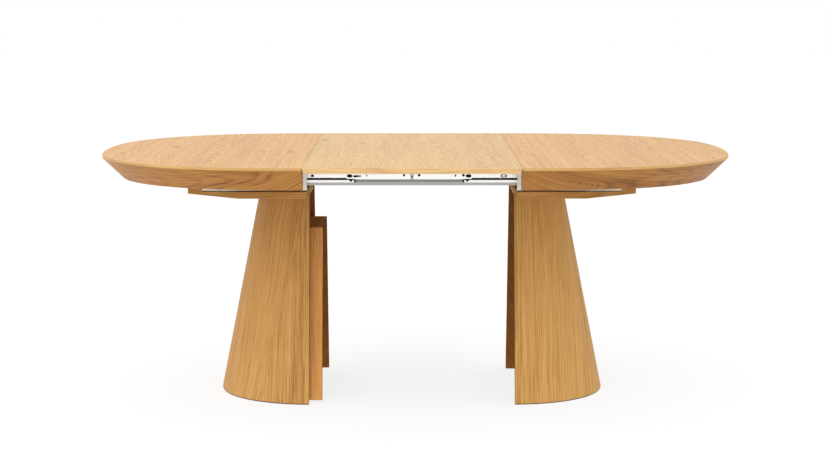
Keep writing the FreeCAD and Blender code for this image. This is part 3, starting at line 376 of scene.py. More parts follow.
@dataclass(frozen=True)
class Oak:
    """Matt-lacquered oak, as veneer sheets laid side by side.

    Each sheet is a flat cut past the middle of a log: ring_spacing is the distance between growth
    rings there, cut_depth how far the cut lies from the middle of the log, and cut_slope how much
    that changes along the sheet, which sets how pointed the arches are. Shades are screen values.
    """

    SHADE_STOPS = (0.05, 0.5, 0.95)
    PATCH_EDGES = (0.3, 0.7)
    LINE_EDGES = (0.38, 0.62)
    LINE_PITCH = 4.5
    WAVES_ACROSS = 2.2
    LOG_DRIFT = 0.7
    SHEET_SHIFT = 1.5
    SWELL_DEPTH = 0.35
    PORE_SHADE = 0.45
    PORE_LIMIT = 0.66
    PORE_LIMIT_IN_RINGS = -0.09
    PORE_EDGE = 0.07
    KNOT_SHADE = 0.28
    KNOT_REACH = (1.6, 1.0)
    SWIRL_REACH = (7.0, 3.5)
    CORE_EDGES = (0.35, 0.9)
    HALO_STRENGTH = 0.3
    RAGGEDNESS = 0.5
    ROUGHNESS_SPREAD = 0.12
    FIBRE_RELIEF = 0.35
    RING_RELIEF = 0.2
    RELIEF_DEPTH = 0.12 * MILLIMETRE
    LACQUER_IOR = 1.5

    name: str
    light: Screen
    middle: Screen
    dark: Screen
    sheet_width: float = 0.16
    ring_spacing: float = 0.007
    cut_depth: float = 0.06
    cut_slope: float = 0.05
    waviness: float = 0.012
    wave_pitch: float = 0.35
    ring_strength: float = 0.22
    streak_strength: float = 0.5
    line_strength: float = 0.24
    line_density: float = 280.0
    line_stretch: float = 1.0
    ring_gaps: float = 0.75
    fibre_strength: float = 0.8
    pore_strength: float = 0.45
    sheet_contrast: float = 0.14
    tone_strength: float = 0.35
    roughness: float = 0.46
    gloss: float = 0.5
    knots: tuple[Knot, ...] = ()
    flames: tuple[Flame, ...] = ()
    seams: tuple[Seam, ...] = ()

    def material(self) -> bpy.types.Material:
        """Build the node tree.

        Returns:
            The material, which reads the piece's grain map.
        """
        sheet = Shader(self.name)
        shades = [colour(*shade) for shade in (self.light, self.middle, self.dark)]
        dark = shades[-1]
        along, across = self._past_seams(sheet, *sheet.grain_place())
        number = sheet.math("FLOOR", across / self.sheet_width)
        chances = sheet.split(sheet.add("ShaderNodeTexWhiteNoise", output="Color",
                                        noise_dimensions="1D", named={"W": number}))
        first, second = chances[:2]
        bent = self._bent(sheet, along, across, first)
        rings = self._rings(sheet, along, across, bent, number, chances)
        line = sheet.ramp(sheet.math("FRACT", rings), [
            (place, (darkness,) * 3) for place, darkness in RING_DARKNESS])
        patches = PATCHES.on(sheet, along, across)
        line = line * sheet.fade(patches, *self.PATCH_EDGES, 1.0 - self.ring_gaps)
        lines = Weave(self.LINE_PITCH, self.line_density, roughness=0.6)
        crisp = sheet.fade(lines.on(sheet, along, bent, second, self.line_stretch), *self.LINE_EDGES)
        fine = FIBRES.on(sheet, along, bent)
        layers = ((STREAKS.on(sheet, along, bent, first, self.line_stretch), self.streak_strength),
                  (crisp, self.line_strength), (fine, self.fibre_strength),
                  (TONES.on(sheet, along, bent, first), self.tone_strength), (second, self.sheet_contrast))
        shade = sum(((layer - 0.5) * strength for layer, strength in layers),
                    line * self.ring_strength + (0.5 - self.ring_strength / 3))
        base = sheet.ramp(shade, list(zip(self.SHADE_STOPS, shades)))
        pores = self._pores(sheet, along, bent, line)
        base = sheet.mix(pores * self.pore_strength, base, share_of(dark, self.PORE_SHADE))
        base = self._knotted(sheet, base, along, across, dark)
        rough = (fine - 0.5) * self.ROUGHNESS_SPREAD + self.roughness
        relief = fine * self.FIBRE_RELIEF - (line * self.RING_RELIEF + pores)
        return sheet.dress(base, rough, relief, self.RELIEF_DEPTH,
                           IOR=self.LACQUER_IOR, Specular_IOR_Level=self.gloss)

    def _past_seams(self, sheet: Shader, along: Value, across: Value) -> tuple[Value, Value]:
        """The grain map, turned past each seam.

        Args:
            sheet: Material that it goes into.
            along: Distance along the fibres.
            across: Distance across them.

        Returns:
            The two distances, with the next sheet's own past a seam.
        """
        for seam in self.seams:
            aside = across - seam.origin
            past = sheet.math("GREATER_THAN", aside, along * seam.slope + seam.start)
            upright, slanting = math.cos(seam.turn), math.sin(seam.turn)
            turned = (along * upright + aside * slanting,
                      aside * upright + seam.jump - along * slanting)
            along, across = (before + past * (after - before)
                             for before, after in zip((along, across), turned))
        return along, across

    def _bent(self, sheet: Shader, along: Value, across: Value, chance: Value) -> Value:
        """Distance across the fibres, once their slow waves are taken out."""
        waves = Weave(1 / self.wave_pitch, self.WAVES_ACROSS / self.wave_pitch)
        return across + (waves.on(sheet, along, across, chance) - 0.5) * (self.waviness * 2)

    def _rings(self, sheet: Shader, along: Value, across: Value, bent: Value, number: Value,
               chances: list[Value]) -> Value:
        """Number of growth rings between the middle of the log and each place on the sheet.

        Args:
            sheet: Material that it goes into.
            along: Distance along the fibres.
            across: Distance across them.
            bent: Distance across them without their waves.
            number: Number of the veneer sheet.
            chances: Three numbers of chance for each sheet.

        Returns:
            The number of rings, which grows evenly from one ring to the next.
        """
        first, second, third = chances
        off_centre = (third - 0.5) * (self.sheet_width * self.LOG_DRIFT)
        beside = bent - (number + 0.5) * self.sheet_width + off_centre
        swell = SWELLS.on(sheet, along, across, second) * self.SWELL_DEPTH
        depth = (along + first * self.SHEET_SHIFT + swell) * self.cut_slope + self.cut_depth
        rings = sheet.math("SQRT", beside * beside + depth * depth) / self.ring_spacing
        for flame in self.flames:
            near = self._nearness(sheet, along, across, flame, (flame.length, flame.width))
            rings = near * flame.rings + rings
        for knot in self.knots:
            reach = [knot.radius * share for share in self.SWIRL_REACH]
            near = self._nearness(sheet, along, across, knot, reach)
            rings = near * knot.swirl + rings
        return rings

    def _nearness(self, sheet: Shader, along: Value, across: Value, spot: Knot | Flame,
                  reach: Sequence[float]) -> Value:
        """1 at a spot on the grain map, falling to 0 like a bell over its reach along and across."""
        far_along, far_across = (along - spot.along) / reach[0], (across - spot.across) / reach[1]
        return sheet.math("EXPONENT", (far_along * far_along + far_across * far_across) * -1.0)

    def _pores(self, sheet: Shader, along: Value, bent: Value, line: Value) -> Value:
        """Short open pores, closest together in the dark part of each ring."""
        open_at = line * self.PORE_LIMIT_IN_RINGS + self.PORE_LIMIT
        return sheet.fade(PORES.on(sheet, along, bent), open_at, open_at + self.PORE_EDGE)

    def _knotted(self, sheet: Shader, base: Value, along: Value, across: Value, dark: Colour) -> Value:
        """The base colour with its knots drawn in.

        Args:
            sheet: Material that it goes into.
            base: Colour without knots.
            along: Distance along the fibres.
            across: Distance across them.
            dark: Darkest shade of the grain.

        Returns:
            The colour with each knot's halo and core.
        """
        ragged = (KNOT_BARK.on(sheet, along, across) - 0.5) * self.RAGGEDNESS
        for knot in self.knots:
            reach = [knot.radius * share for share in self.KNOT_REACH]
            near = self._nearness(sheet, along, across, knot, reach)
            core = sheet.fade(near + ragged, *self.CORE_EDGES)
            halo = sheet.math("SQRT", near) * (self.HALO_STRENGTH * knot.darkness)
            base = sheet.mix(halo, base, dark)
            base = sheet.mix(core * knot.darkness, base, share_of(dark, self.KNOT_SHADE))
        return base


@dataclass(frozen=True)
class Plywood:
    """Birch plywood: plies of alternating grain, seen as stripes on its edges."""

    PLY_EDGES = (0.46, 0.54)
    FIBRE_PITCHES = (30, 5, 900)
    SHADES = ((0.3, colour(222, 190, 146)), (0.7, colour(190, 150, 102)))
    CROSS_SHADE = colour(152, 108, 66)
    ROUGHNESS_SPREAD = 0.15
    RELIEF_DEPTH = 0.1 * MILLIMETRE

    name: str = "plywood"
    ply: float = 0.0014
    roughness: float = 0.6

    def material(self) -> bpy.types.Material:
        """Build the node tree.

        Returns:
            The material.
        """
        sheet = Shader(self.name)
        *_, height = sheet.place()
        cross_ply = sheet.fade(sheet.math("FRACT", height * (0.5 / self.ply)), *self.PLY_EDGES)
        fibres = sheet.mottle(self.FIBRE_PITCHES, 4.0, 0.6)
        base = sheet.mix(cross_ply * 0.5, sheet.ramp(fibres, self.SHADES), self.CROSS_SHADE)
        rough = fibres * self.ROUGHNESS_SPREAD + self.roughness
        return sheet.dress(base, rough, fibres, self.RELIEF_DEPTH)


@dataclass(frozen=True)
class Beech:
    """Plain beech of the locating pins, with its short flecks."""

    FLECK_PITCHES = (1400, 1400, 160)
    SHADES = ((0.35, colour(226, 188, 150)), (0.62, colour(205, 160, 118)), (0.75, colour(160, 112, 76)))
    RELIEF_DEPTH = 0.05 * MILLIMETRE

    name: str = "beech"
    roughness: float = 0.62

    def material(self) -> bpy.types.Material:
        """Build the node tree.

        Returns:
            The material.
        """
        sheet = Shader(self.name)
        flecks = sheet.mottle(self.FLECK_PITCHES)
        return sheet.dress(sheet.ramp(flecks, self.SHADES), self.roughness, flecks, self.RELIEF_DEPTH)


@dataclass(frozen=True)
class Metal:
    """Bare or plated metal with drawing lines along the rails and a faint mottle."""

    PITCH_ALONG = 3
    CLOUD_PITCHES = (45, 45, 45)
    CONTRAST = (4, 6)           # of the drawing lines and of the mottle
    ROUGHNESS_SPREADS = (0.3, 0.15)
    RELIEF_DEPTH = 0.02 * MILLIMETRE

    name: str
    shade: Colour
    roughness: float
    lines: float = 0.12
    mottle: float = 0.06
    draw_pitch: float = 1300.0

    def material(self) -> bpy.types.Material:
        """Build the node tree.

        Returns:
            The material.
        """
        sheet = Shader(self.name)
        drawn = sheet.mottle((self.PITCH_ALONG, self.draw_pitch, self.draw_pitch), 3.0, 0.6) - 0.5
        cloud = sheet.mottle(self.CLOUD_PITCHES, 4.0, 0.6) - 0.5
        for_lines, for_mottle = self.CONTRAST
        tone = drawn * (self.lines * for_lines) + cloud * (self.mottle * for_mottle) + 0.5
        low, high = share_of(self.shade, 1 - self.lines), share_of(self.shade, 1 + self.lines / 2)
        by_lines, by_cloud = self.ROUGHNESS_SPREADS
        rough = drawn * by_lines + cloud * by_cloud + self.roughness
        return sheet.dress(sheet.ramp(tone, ((0.0, low), (1.0, high))), rough, drawn,
                           self.RELIEF_DEPTH, Metallic=1.0)


@dataclass(frozen=True)
class Coating:
    """Paint, plastic, rubber or felt: one shade with a fine texture and a little dust or wear."""

    CLOUD_PITCHES = (22, 22, 22)
    WEAR_EDGES = (0.48, 0.75)
    ROUGHNESS_SPREADS = (0.2, 0.1)

    name: str
    shade: Colour
    worn: Colour
    roughness: float
    pitch: float = 900.0
    depth: float = 0.00004
    sheen: float = 0.0
    gloss: float = 0.5

    def material(self) -> bpy.types.Material:
        """Build the node tree.

        Returns:
            The material.
        """
        sheet = Shader(self.name)
        texture = sheet.mottle((self.pitch,) * 3, 3.0, 0.6)
        cloud = sheet.mottle(self.CLOUD_PITCHES, 4.0, 0.65)
        base = sheet.mix(sheet.fade(cloud, *self.WEAR_EDGES), self.shade, self.worn)
        by_cloud, by_texture = self.ROUGHNESS_SPREADS
        rough = (cloud - 0.5) * by_cloud + (texture - 0.5) * by_texture + self.roughness
        return sheet.dress(base, rough, texture, self.depth, Sheen_Weight=self.sheen,
                           Specular_IOR_Level=self.gloss)


# ---------------------------------------------------------------- meshes
@dataclass
class Draft:
    """Faces of one wooden piece, each with its own rule for the grain and its own finish."""

    name: str
    points: list[Point] = field(default_factory=list)
    faces: list[list[int]] = field(default_factory=list)
    grain: list[list[tuple[float, float]]] = field(default_factory=list)
    finish: list[int] = field(default_factory=list)
    index: dict[tuple[int, ...], int] = field(default_factory=dict)

    def face(self, corners: Sequence[Point], rule: GrainRule, finish: int = 0) -> None:
        """Add one face, counter-clockwise seen from outside.

        Args:
            corners: Its corners.
            rule: Gives the grain map's two distances for a corner.
            finish: Number of its material on the piece.
        """
        ring = []
        for corner in corners:
            key = tuple(round(value * CORNER_SCALE) for value in corner)
            if key not in self.index:
                self.index[key] = len(self.points)
                self.points.append(tuple(corner))
            ring.append(self.index[key])
        self.faces.append(ring)
        self.grain.append([rule(Vector(corner)) for corner in corners])
        self.finish.append(finish)

    def prism(self, first: Sequence[Point], last: Sequence[Point], finish: int = 0) -> None:
        """Add a closed prism between two ends, for a piece whose finish has no grain.

        Args:
            first: Corners of one end, counter-clockwise seen from outside.
            last: The corners across from them.
            finish: Number of its material on the piece.
        """
        self.face(first, plain_map, finish)
        self.face(list(reversed(last)), plain_map, finish)
        for number in range(len(first)):
            following = (number + 1) % len(first)
            self.face((first[number], last[number], last[following], first[following]), plain_map, finish)

    def build(self, materials: Sequence[bpy.types.Material], rounding: float,
              flip: bool = False) -> bpy.types.Object:
        """Make the object.

        Args:
            materials: Its materials, by number.
            rounding: Radius of its eased edges.
            flip: Turn the piece half a turn about Z, for the other half of the table.

        Returns:
            The object, at the origin, with its place in its mesh.
        """
        sign = -1 if flip else 1
        mesh = bpy.data.meshes.new(self.name)
        mesh.from_pydata([(sign * x, sign * y, z) for x, y, z in self.points], [], self.faces)
        layer = mesh.uv_layers.new(name=GRAIN_MAP)
        for polygon, places, number in zip(mesh.polygons, self.grain, self.finish):
            polygon.material_index = number
            for loop, place in zip(polygon.loop_indices, places):
                layer.data[loop].uv = place
        for material in materials:
            mesh.materials.append(material)
        piece = bpy.data.objects.new(self.name, mesh)
        bpy.context.scene.collection.objects.link(piece)
        ease_edges(piece, rounding)
        return piece


def plain_map(point: Vector) -> tuple[float, float]:
    """Upright map along the table."""
    return point.x, point.z


def ease_edges(piece: bpy.types.Object, radius: float) -> None:
    """Shade a piece smoothly and round its sharp edges a little.

    Args:
        piece: Object with a mesh.
        radius: Radius of the rounded edges.
    """
    piece.data.shade_smooth()
    bevel = piece.modifiers.new("eased_edges", "BEVEL")
    bevel.width, bevel.segments = radius, 2
    bevel.limit_method, bevel.angle_limit = "ANGLE", SHARP_ANGLE
    bevel.harden_normals = True


def loose_parts(node: str) -> list[tuple[Vector, Vector]]:
    """Boxes of the separate solids of one construction node.

    Args:
        node: Name of the node.

    Returns:
        Lowest and highest corner of each solid, ordered by place.
    """
    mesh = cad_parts[node].data
    keys = [tuple(round(value * VERTEX_SCALE) for value in vertex.co) for vertex in mesh.vertices]
    parent = {key: key for key in keys}

    def root(key: tuple[int, ...]) -> tuple[int, ...]:
        """Representative of the group that holds a corner.

        Args:
            key: Place of the corner.

        Returns:
            Place of the corner that stands for its group.
        """
        while parent[key] != key:
            parent[key] = parent[parent[key]]
            key = parent[key]
        return key

    for polygon in mesh.polygons:
        first, *others = (keys[index] for index in polygon.vertices)
        for other in others:
            parent[root(other)] = root(first)
    groups: dict[tuple[int, ...], list[Vector]] = {}
    for key, vertex in zip(keys, mesh.vertices):
        groups.setdefault(root(key), []).append(vertex.co)
    boxes = [(Vector(map(min, zip(*group))), Vector(map(max, zip(*group)))) for group in groups.values()]
    return sorted(boxes, key=lambda pair: tuple(pair[0]))


class Recipe(NodeSheet):
    """A Geometry Nodes tree with named inputs, which is baked to a plain mesh."""

    SOCKETS = {float: "NodeSocketFloat", int: "NodeSocketInt", bpy.types.Material: "NodeSocketMaterial"}

    def __init__(self, name: str, **sizes: float | int | bpy.types.Material) -> None:
        """Start a tree.

        Args:
            name: Name of the tree.
            **sizes: Its inputs with the values that they get.
        """
        super().__init__(bpy.data.node_groups.new(name, "GeometryNodeTree"))
        self.sizes = sizes
        self.tree.interface.new_socket("Geometry", in_out="INPUT", socket_type="NodeSocketGeometry")
        for word, value in sizes.items():
            kind = next(socket for type_, socket in self.SOCKETS.items() if isinstance(value, type_))
            self.tree.interface.new_socket(word, in_out="INPUT", socket_type=kind)
        self.tree.interface.new_socket("Geometry", in_out="OUTPUT", socket_type="NodeSocketGeometry")
        self.entry = self.tree.nodes.new("NodeGroupInput")
        self.leave = self.tree.nodes.new("NodeGroupOutput")

    def size(self, word: str) -> Value:
        """One named input."""
        return Value(self, self.entry.outputs[word])

    def close(self, geometry: Value) -> None:
        """End the tree: plain geometry in the piece's finish.

        Args:
            geometry: What the tree has made.
        """
        plain = self.add("GeometryNodeRealizeInstances", geometry)
        dressed = self.add("GeometryNodeSetMaterial", named={
            "Geometry": plain, "Material": self.size("finish")})
        self.feed(self.leave.inputs[0], dressed)

    def scatter(self, item: Value) -> Value:
        """One copy of an item on each point of the incoming mesh."""
        return self.add("GeometryNodeInstanceOnPoints", named={
            "Points": self.size("Geometry"), "Instance": item})

    def position(self) -> list[Value]:
        """Place of each corner of a mesh as three numbers."""
        return self.split(self.add("GeometryNodeInputPosition"))

    def shaped(self, mesh: Value, target: Value) -> Value:
        """A mesh with its corners put at a target."""
        return self.add("GeometryNodeSetPosition", named={"Geometry": mesh, "Position": target})

    def rod(self, radius: object, length: object, middle: object, around: int) -> Value:
        """Upright cylinder.

        Args:
            radius: Its radius.
            length: Its length.
            middle: Height of its middle.
            around: Number of its sides.

        Returns:
            The mesh.
        """
        drum = self.add("GeometryNodeMeshCylinder",
                        named={"Vertices": around, "Radius": radius, "Depth": length})
        return self.moved(drum, self.vector(0.0, 0.0, middle))

    def moved(self, mesh: Value, shift: object = None, turn: Point | None = None) -> Value:
        """A mesh turned about the origin and then shifted."""
        return self.add("GeometryNodeTransform", named={
            "Geometry": mesh, "Translation": shift, "Rotation": turn})

    def cut(self, mesh: Value, tool: Value) -> Value:
        """A mesh with the room of another taken out of it."""
        return self.add("GeometryNodeMeshBoolean", operation="DIFFERENCE", named={
            "Mesh 1": mesh, "Mesh 2": tool})

    def joined(self, *meshes: Value) -> Value:
        """Several meshes as one geometry.

        Args:
            *meshes: The meshes, in their order in the result.

        Returns:
            The geometry.
        """
        node = self.node("GeometryNodeJoinGeometry")
        for mesh in reversed(meshes):
            self.feed(node.inputs[0], mesh)
        return Value(self, node.outputs[0])

    def bake(self, name: str, points: Sequence[Point] = ()) -> bpy.types.Object:
        """Evaluate the tree.

        Args:
            name: Name of the piece.
            points: Corners of the mesh that goes into the tree.

        Returns:
            The piece as a plain mesh, with no modifier.
        """
        seed = bpy.data.meshes.new(name + "_seed")
        seed.from_pydata(list(points), [], [])
        carrier = bpy.data.objects.new(name + "_seed", seed)
        bpy.context.scene.collection.objects.link(carrier)
        modifier = carrier.modifiers.new("recipe", "NODES")
        modifier.node_group = self.tree
        for item in self.tree.interface.items_tree:
            if item.in_out == "INPUT" and item.name in self.sizes:
                modifier[item.identifier] = self.sizes[item.name]
        graph = bpy.context.evaluated_depsgraph_get()
        mesh = bpy.data.meshes.new_from_object(carrier.evaluated_get(graph), depsgraph=graph)
        carrier.modifiers.remove(modifier)
        bpy.data.objects.remove(carrier)
        mesh.name = name
        piece = bpy.data.objects.new(name, mesh)
        bpy.context.scene.collection.objects.link(piece)
        return piece


def join_pieces(name: str, parts: Sequence[bpy.types.Object]) -> bpy.types.Object:
    """Several plain meshes as one piece.

    Args:
        name: Name of the piece.
        parts: Objects at the origin, which are used up.

    Returns:
        The piece.
    """
    first, *others = parts
    with bpy.context.temp_override(active_object=first, selected_editable_objects=list(parts)):
        bpy.ops.object.join()
    first.name = first.data.name = name
    return first


def place_piece(piece: bpy.types.Object, body: str, slot: str, *nodes: str) -> None:
    """Hand a finished piece to the frame and report it.

    Args:
        piece: The object.
        body: Body that it moves with.
        slot: Material slot of the record; not used.
        *nodes: Construction nodes that it stands for.
    """
    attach(piece, body)
    if nodes:
        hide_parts(*nodes)
    log.info("%s rides on %s for %s", piece.name, body, ", ".join(nodes) or "no node")


# ---------------------------------------------------------------- half of the top
@dataclass(frozen=True)
class Rim:
    """Plan of a half top: five arcs without a kink, from the joint's front end round to its rear end."""

    joint: float
    half_width: float
    reach: float
    side_radius: float = 1.377
    corner_radius: float = 0.519
    facets: tuple[int, ...] = (26, 26, 34, 26, 26)

    def arcs(self) -> list[tuple[Vector, float, float, float]]:
        """The five arcs of the plan.

        Returns:
            Centre, radius, first angle and last angle of each arc.
        """
        flat, corner = self.side_radius, self.corner_radius
        front = Vector((self.joint, flat - self.half_width))
        tip = Vector((self.joint + self.reach - flat, 0.0))
        span = tip - front
        lift = math.sqrt((flat - corner) ** 2 - span.length_squared / 4)
        front_corner = (front + tip) / 2 + Vector((-span.y, span.x)).normalized() * lift
        rear_corner, rear = (Vector((place.x, -place.y)) for place in (front_corner, front))
        steps = (front_corner - front, front_corner - tip, rear_corner - tip, rear_corner - rear)
        turns = [-math.pi / 2, *(math.atan2(step.y, step.x) for step in steps), math.pi / 2]
        radii = (flat, corner, flat, corner, flat)
        return list(zip((front, front_corner, tip, rear_corner, rear), radii, turns, turns[1:]))

    def points(self, inset: float, level: float) -> list[Point]:
        """Points of a copy of the rim.

        Args:
            inset: How far the copy is drawn in.
            level: Its height.

        Returns:
            The points, from the joint's front end round to its rear end.
        """
        arcs = self.arcs()
        spots = []
        for (centre, radius, start, stop), count in zip(arcs, self.facets):
            spots += [(centre, radius, start + (stop - start) * step / count) for step in range(count)]
        centre, radius, _, stop = arcs[-1]
        spots.append((centre, radius, stop))
        return [(centre.x + (radius - inset) * math.cos(angle),
                 centre.y + (radius - inset) * math.sin(angle), level) for centre, radius, angle in spots]

    def distances(self) -> list[float]:
        """Lengths along the rim.

        Returns:
            Distance of each point of the rim from its first one.
        """
        spots = [Vector(spot) for spot in self.points(0.0, 0.0)]
        steps = [(after - before).length for before, after in zip(spots, spots[1:])]
        return [sum(steps[:number]) for number in range(len(spots))]


@dataclass
class HalfTop:
    """Rounded half of a veneered board with a lipped rim, over a deep bevelled edge."""

    side: Side
    veneer: bpy.types.Material
    lipping: bpy.types.Material
    edge: bpy.types.Material
    lip: float = 0.0075
    rabbet: float = 0.010
    foot_inset: float = 0.062
    wall_inset: float = 0.090
    grain_shift: float = 0.0
    slant_at_joint: float = 0.85
    slant_fades: float = 0.15
    rounding: float = 0.5 * MILLIMETRE

    def __post_init__(self) -> None:
        """Take the sizes from the construction; the piece is laid out towards +X and turned at the end."""
        corners = [Vector(corner) * self.side.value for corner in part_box(f"{self.side.word}_top_board")]
        joint, tip = sorted(corner.x for corner in corners)
        self.rim = Rim(joint, abs(corners[0].y), tip - joint)
        self.board_bottom, self.top = sorted(abs(corner.z) for corner in corners)
        self.edge_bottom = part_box(f"{self.side.word}_apron")[0].z
        self.lip_bottom = self.top - self.lip

    def band(self, draft: Draft, lower: tuple[float, float], upper: tuple[float, float], finish: int,
             leaning: bool = False) -> None:
        """Strip of faces between two copies of the rim, its grain along them.

        Args:
            draft: Piece that gets the faces.
            lower: Inset and level of the first copy.
            upper: Inset and level of the second one, on the left of the first seen from outside.
            finish: Number of the material.
            leaning: Whether the grain runs down and away from the joint near both ends.
        """
        slant = math.hypot(upper[0] - lower[0], upper[1] - lower[1])
        below, above, run = self.rim.points(*lower), self.rim.points(*upper), self.rim.distances()
        rises = [self.grain_rise(min(place, run[-1] - place)) * leaning for place in run]
        for number in range(len(run) - 1):
            near, far = (place + self.grain_shift for place in run[number:number + 2])
            rise, next_rise = rises[number:number + 2]
            places = iter(((near, rise), (far, next_rise), (far, next_rise + slant), (near, rise + slant)))
            corners = (below[number], below[number + 1], above[number + 1], above[number])
            draft.face(corners, lambda _point, rule=places: next(rule), finish)

    def grain_rise(self, distance: float) -> float:
        """How far the grain has sunk on the bevel at a distance from the joint."""
        return self.slant_at_joint * self.slant_fades * (1 - math.exp(-distance / self.slant_fades))

    def flat_grain(self, point: Vector) -> tuple[float, float]:
        """Grain of the broad faces: along the joint."""
        return point.y * self.side.value, point.x * self.side.value

    def end_grain(self, point: Vector) -> tuple[float, float]:
        """Grain of the faces in the joint plane."""
        return point.y, point.z + self.grain_shift

    def section_corners(self, section: Sequence[tuple[float, float]], end: int) -> list[Point]:
        """Corners of a section through the rim at one end of the joint, -1 for the front."""
        return [(self.rim.joint, end * (self.rim.half_width - inset), level) for inset, level in section]

    def build_board(self) -> bpy.types.Object:
        """Board: veneered faces, lipped rim and a rabbet for the bevelled edge.

        Returns:
            The piece.
        """
        draft = Draft(f"{self.side.word}_tabletop")
        over, rim, step, root = section = (
            (0.0, self.top), (0.0, self.lip_bottom),
            (self.rabbet, self.lip_bottom), (self.rabbet, self.board_bottom))
        draft.face(self.rim.points(*over), self.flat_grain)
        draft.face(list(reversed(self.rim.points(*root))), self.flat_grain)
        for lower, upper in ((rim, over), (step, rim), (root, step)):
            self.band(draft, lower, upper, 1)
        rear = self.section_corners(section, 1)
        draft.face(rear + list(reversed(self.section_corners(section, -1))), self.end_grain, 1)
        return draft.build((self.veneer, self.lipping), self.rounding, self.side is Side.LEFT)

    def build_edge(self) -> bpy.types.Object:
        """Bevelled edge: half ring that slopes in under the rim.

        Returns:
            The piece.
        """
        draft = Draft(f"{self.side.word}_bevelled_edge")
        section = [(0.0, self.lip_bottom),
                   (self.foot_inset, self.edge_bottom), (self.wall_inset, self.edge_bottom),
                   (self.wall_inset, self.board_bottom), (self.rabbet, self.board_bottom),
                   (self.rabbet, self.lip_bottom)]
        for upper, lower in zip(section, section[1:] + section[:1]):
            self.band(draft, lower, upper, 0, upper is section[0])
        draft.face(list(reversed(self.section_corners(section, -1))), self.end_grain)
        draft.face(self.section_corners(section, 1), self.end_grain)
        return draft.build((self.edge,), self.rounding, self.side is Side.LEFT)

    def build(self) -> None:
        """Build both pieces and hand them over."""
        body = f"{self.side.word}_half"
        place_piece(self.build_board(), body, "oak_top", f"{self.side.word}_top_board")
        place_piece(self.build_edge(), body, "oak_edge", f"{self.side.word}_apron")


# ---------------------------------------------------------------- leaf
@dataclass
class Leaf:
    """Loose board between the halves, with undercut ends."""

    veneer: bpy.types.Material
    edge: bpy.types.Material
    rounding: float = 0.6 * MILLIMETRE

    def build(self) -> None:
        """Build the board and hand it over."""
        low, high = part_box("leaf_board")
        under = self.underside_reach(low.z)
        section = [(-under, low.z), (under, low.z), (high.x, high.z), (low.x, high.z)]
        draft = Draft("leaf")
        front = [(x, low.y, z) for x, z in section]
        rear = [(x, high.y, z) for x, z in section]
        draft.face(front, lambda point: (point.x, point.z), 1)
        draft.face(list(reversed(rear)), lambda point: (point.x, point.z), 1)
        for number, following in enumerate((1, 2, 3, 0)):
            broad = number in (0, 2)
            corners = (front[number], rear[number], rear[following], front[following])
            rule = (lambda point: (point.y, point.x)) if broad else (lambda point: (point.y, point.z))
            draft.face(corners, rule, 0 if broad else 1)
        board = draft.build((self.veneer, self.edge), self.rounding)
        place_piece(board, "leaf", "oak_leaf", "leaf_board")

    def underside_reach(self, level: float) -> float:
        """Half length of the board's lower face."""
        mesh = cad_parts["leaf_board"].data
        return max(vertex.co.x for vertex in mesh.vertices if vertex.co.z < level + MILLIMETRE)


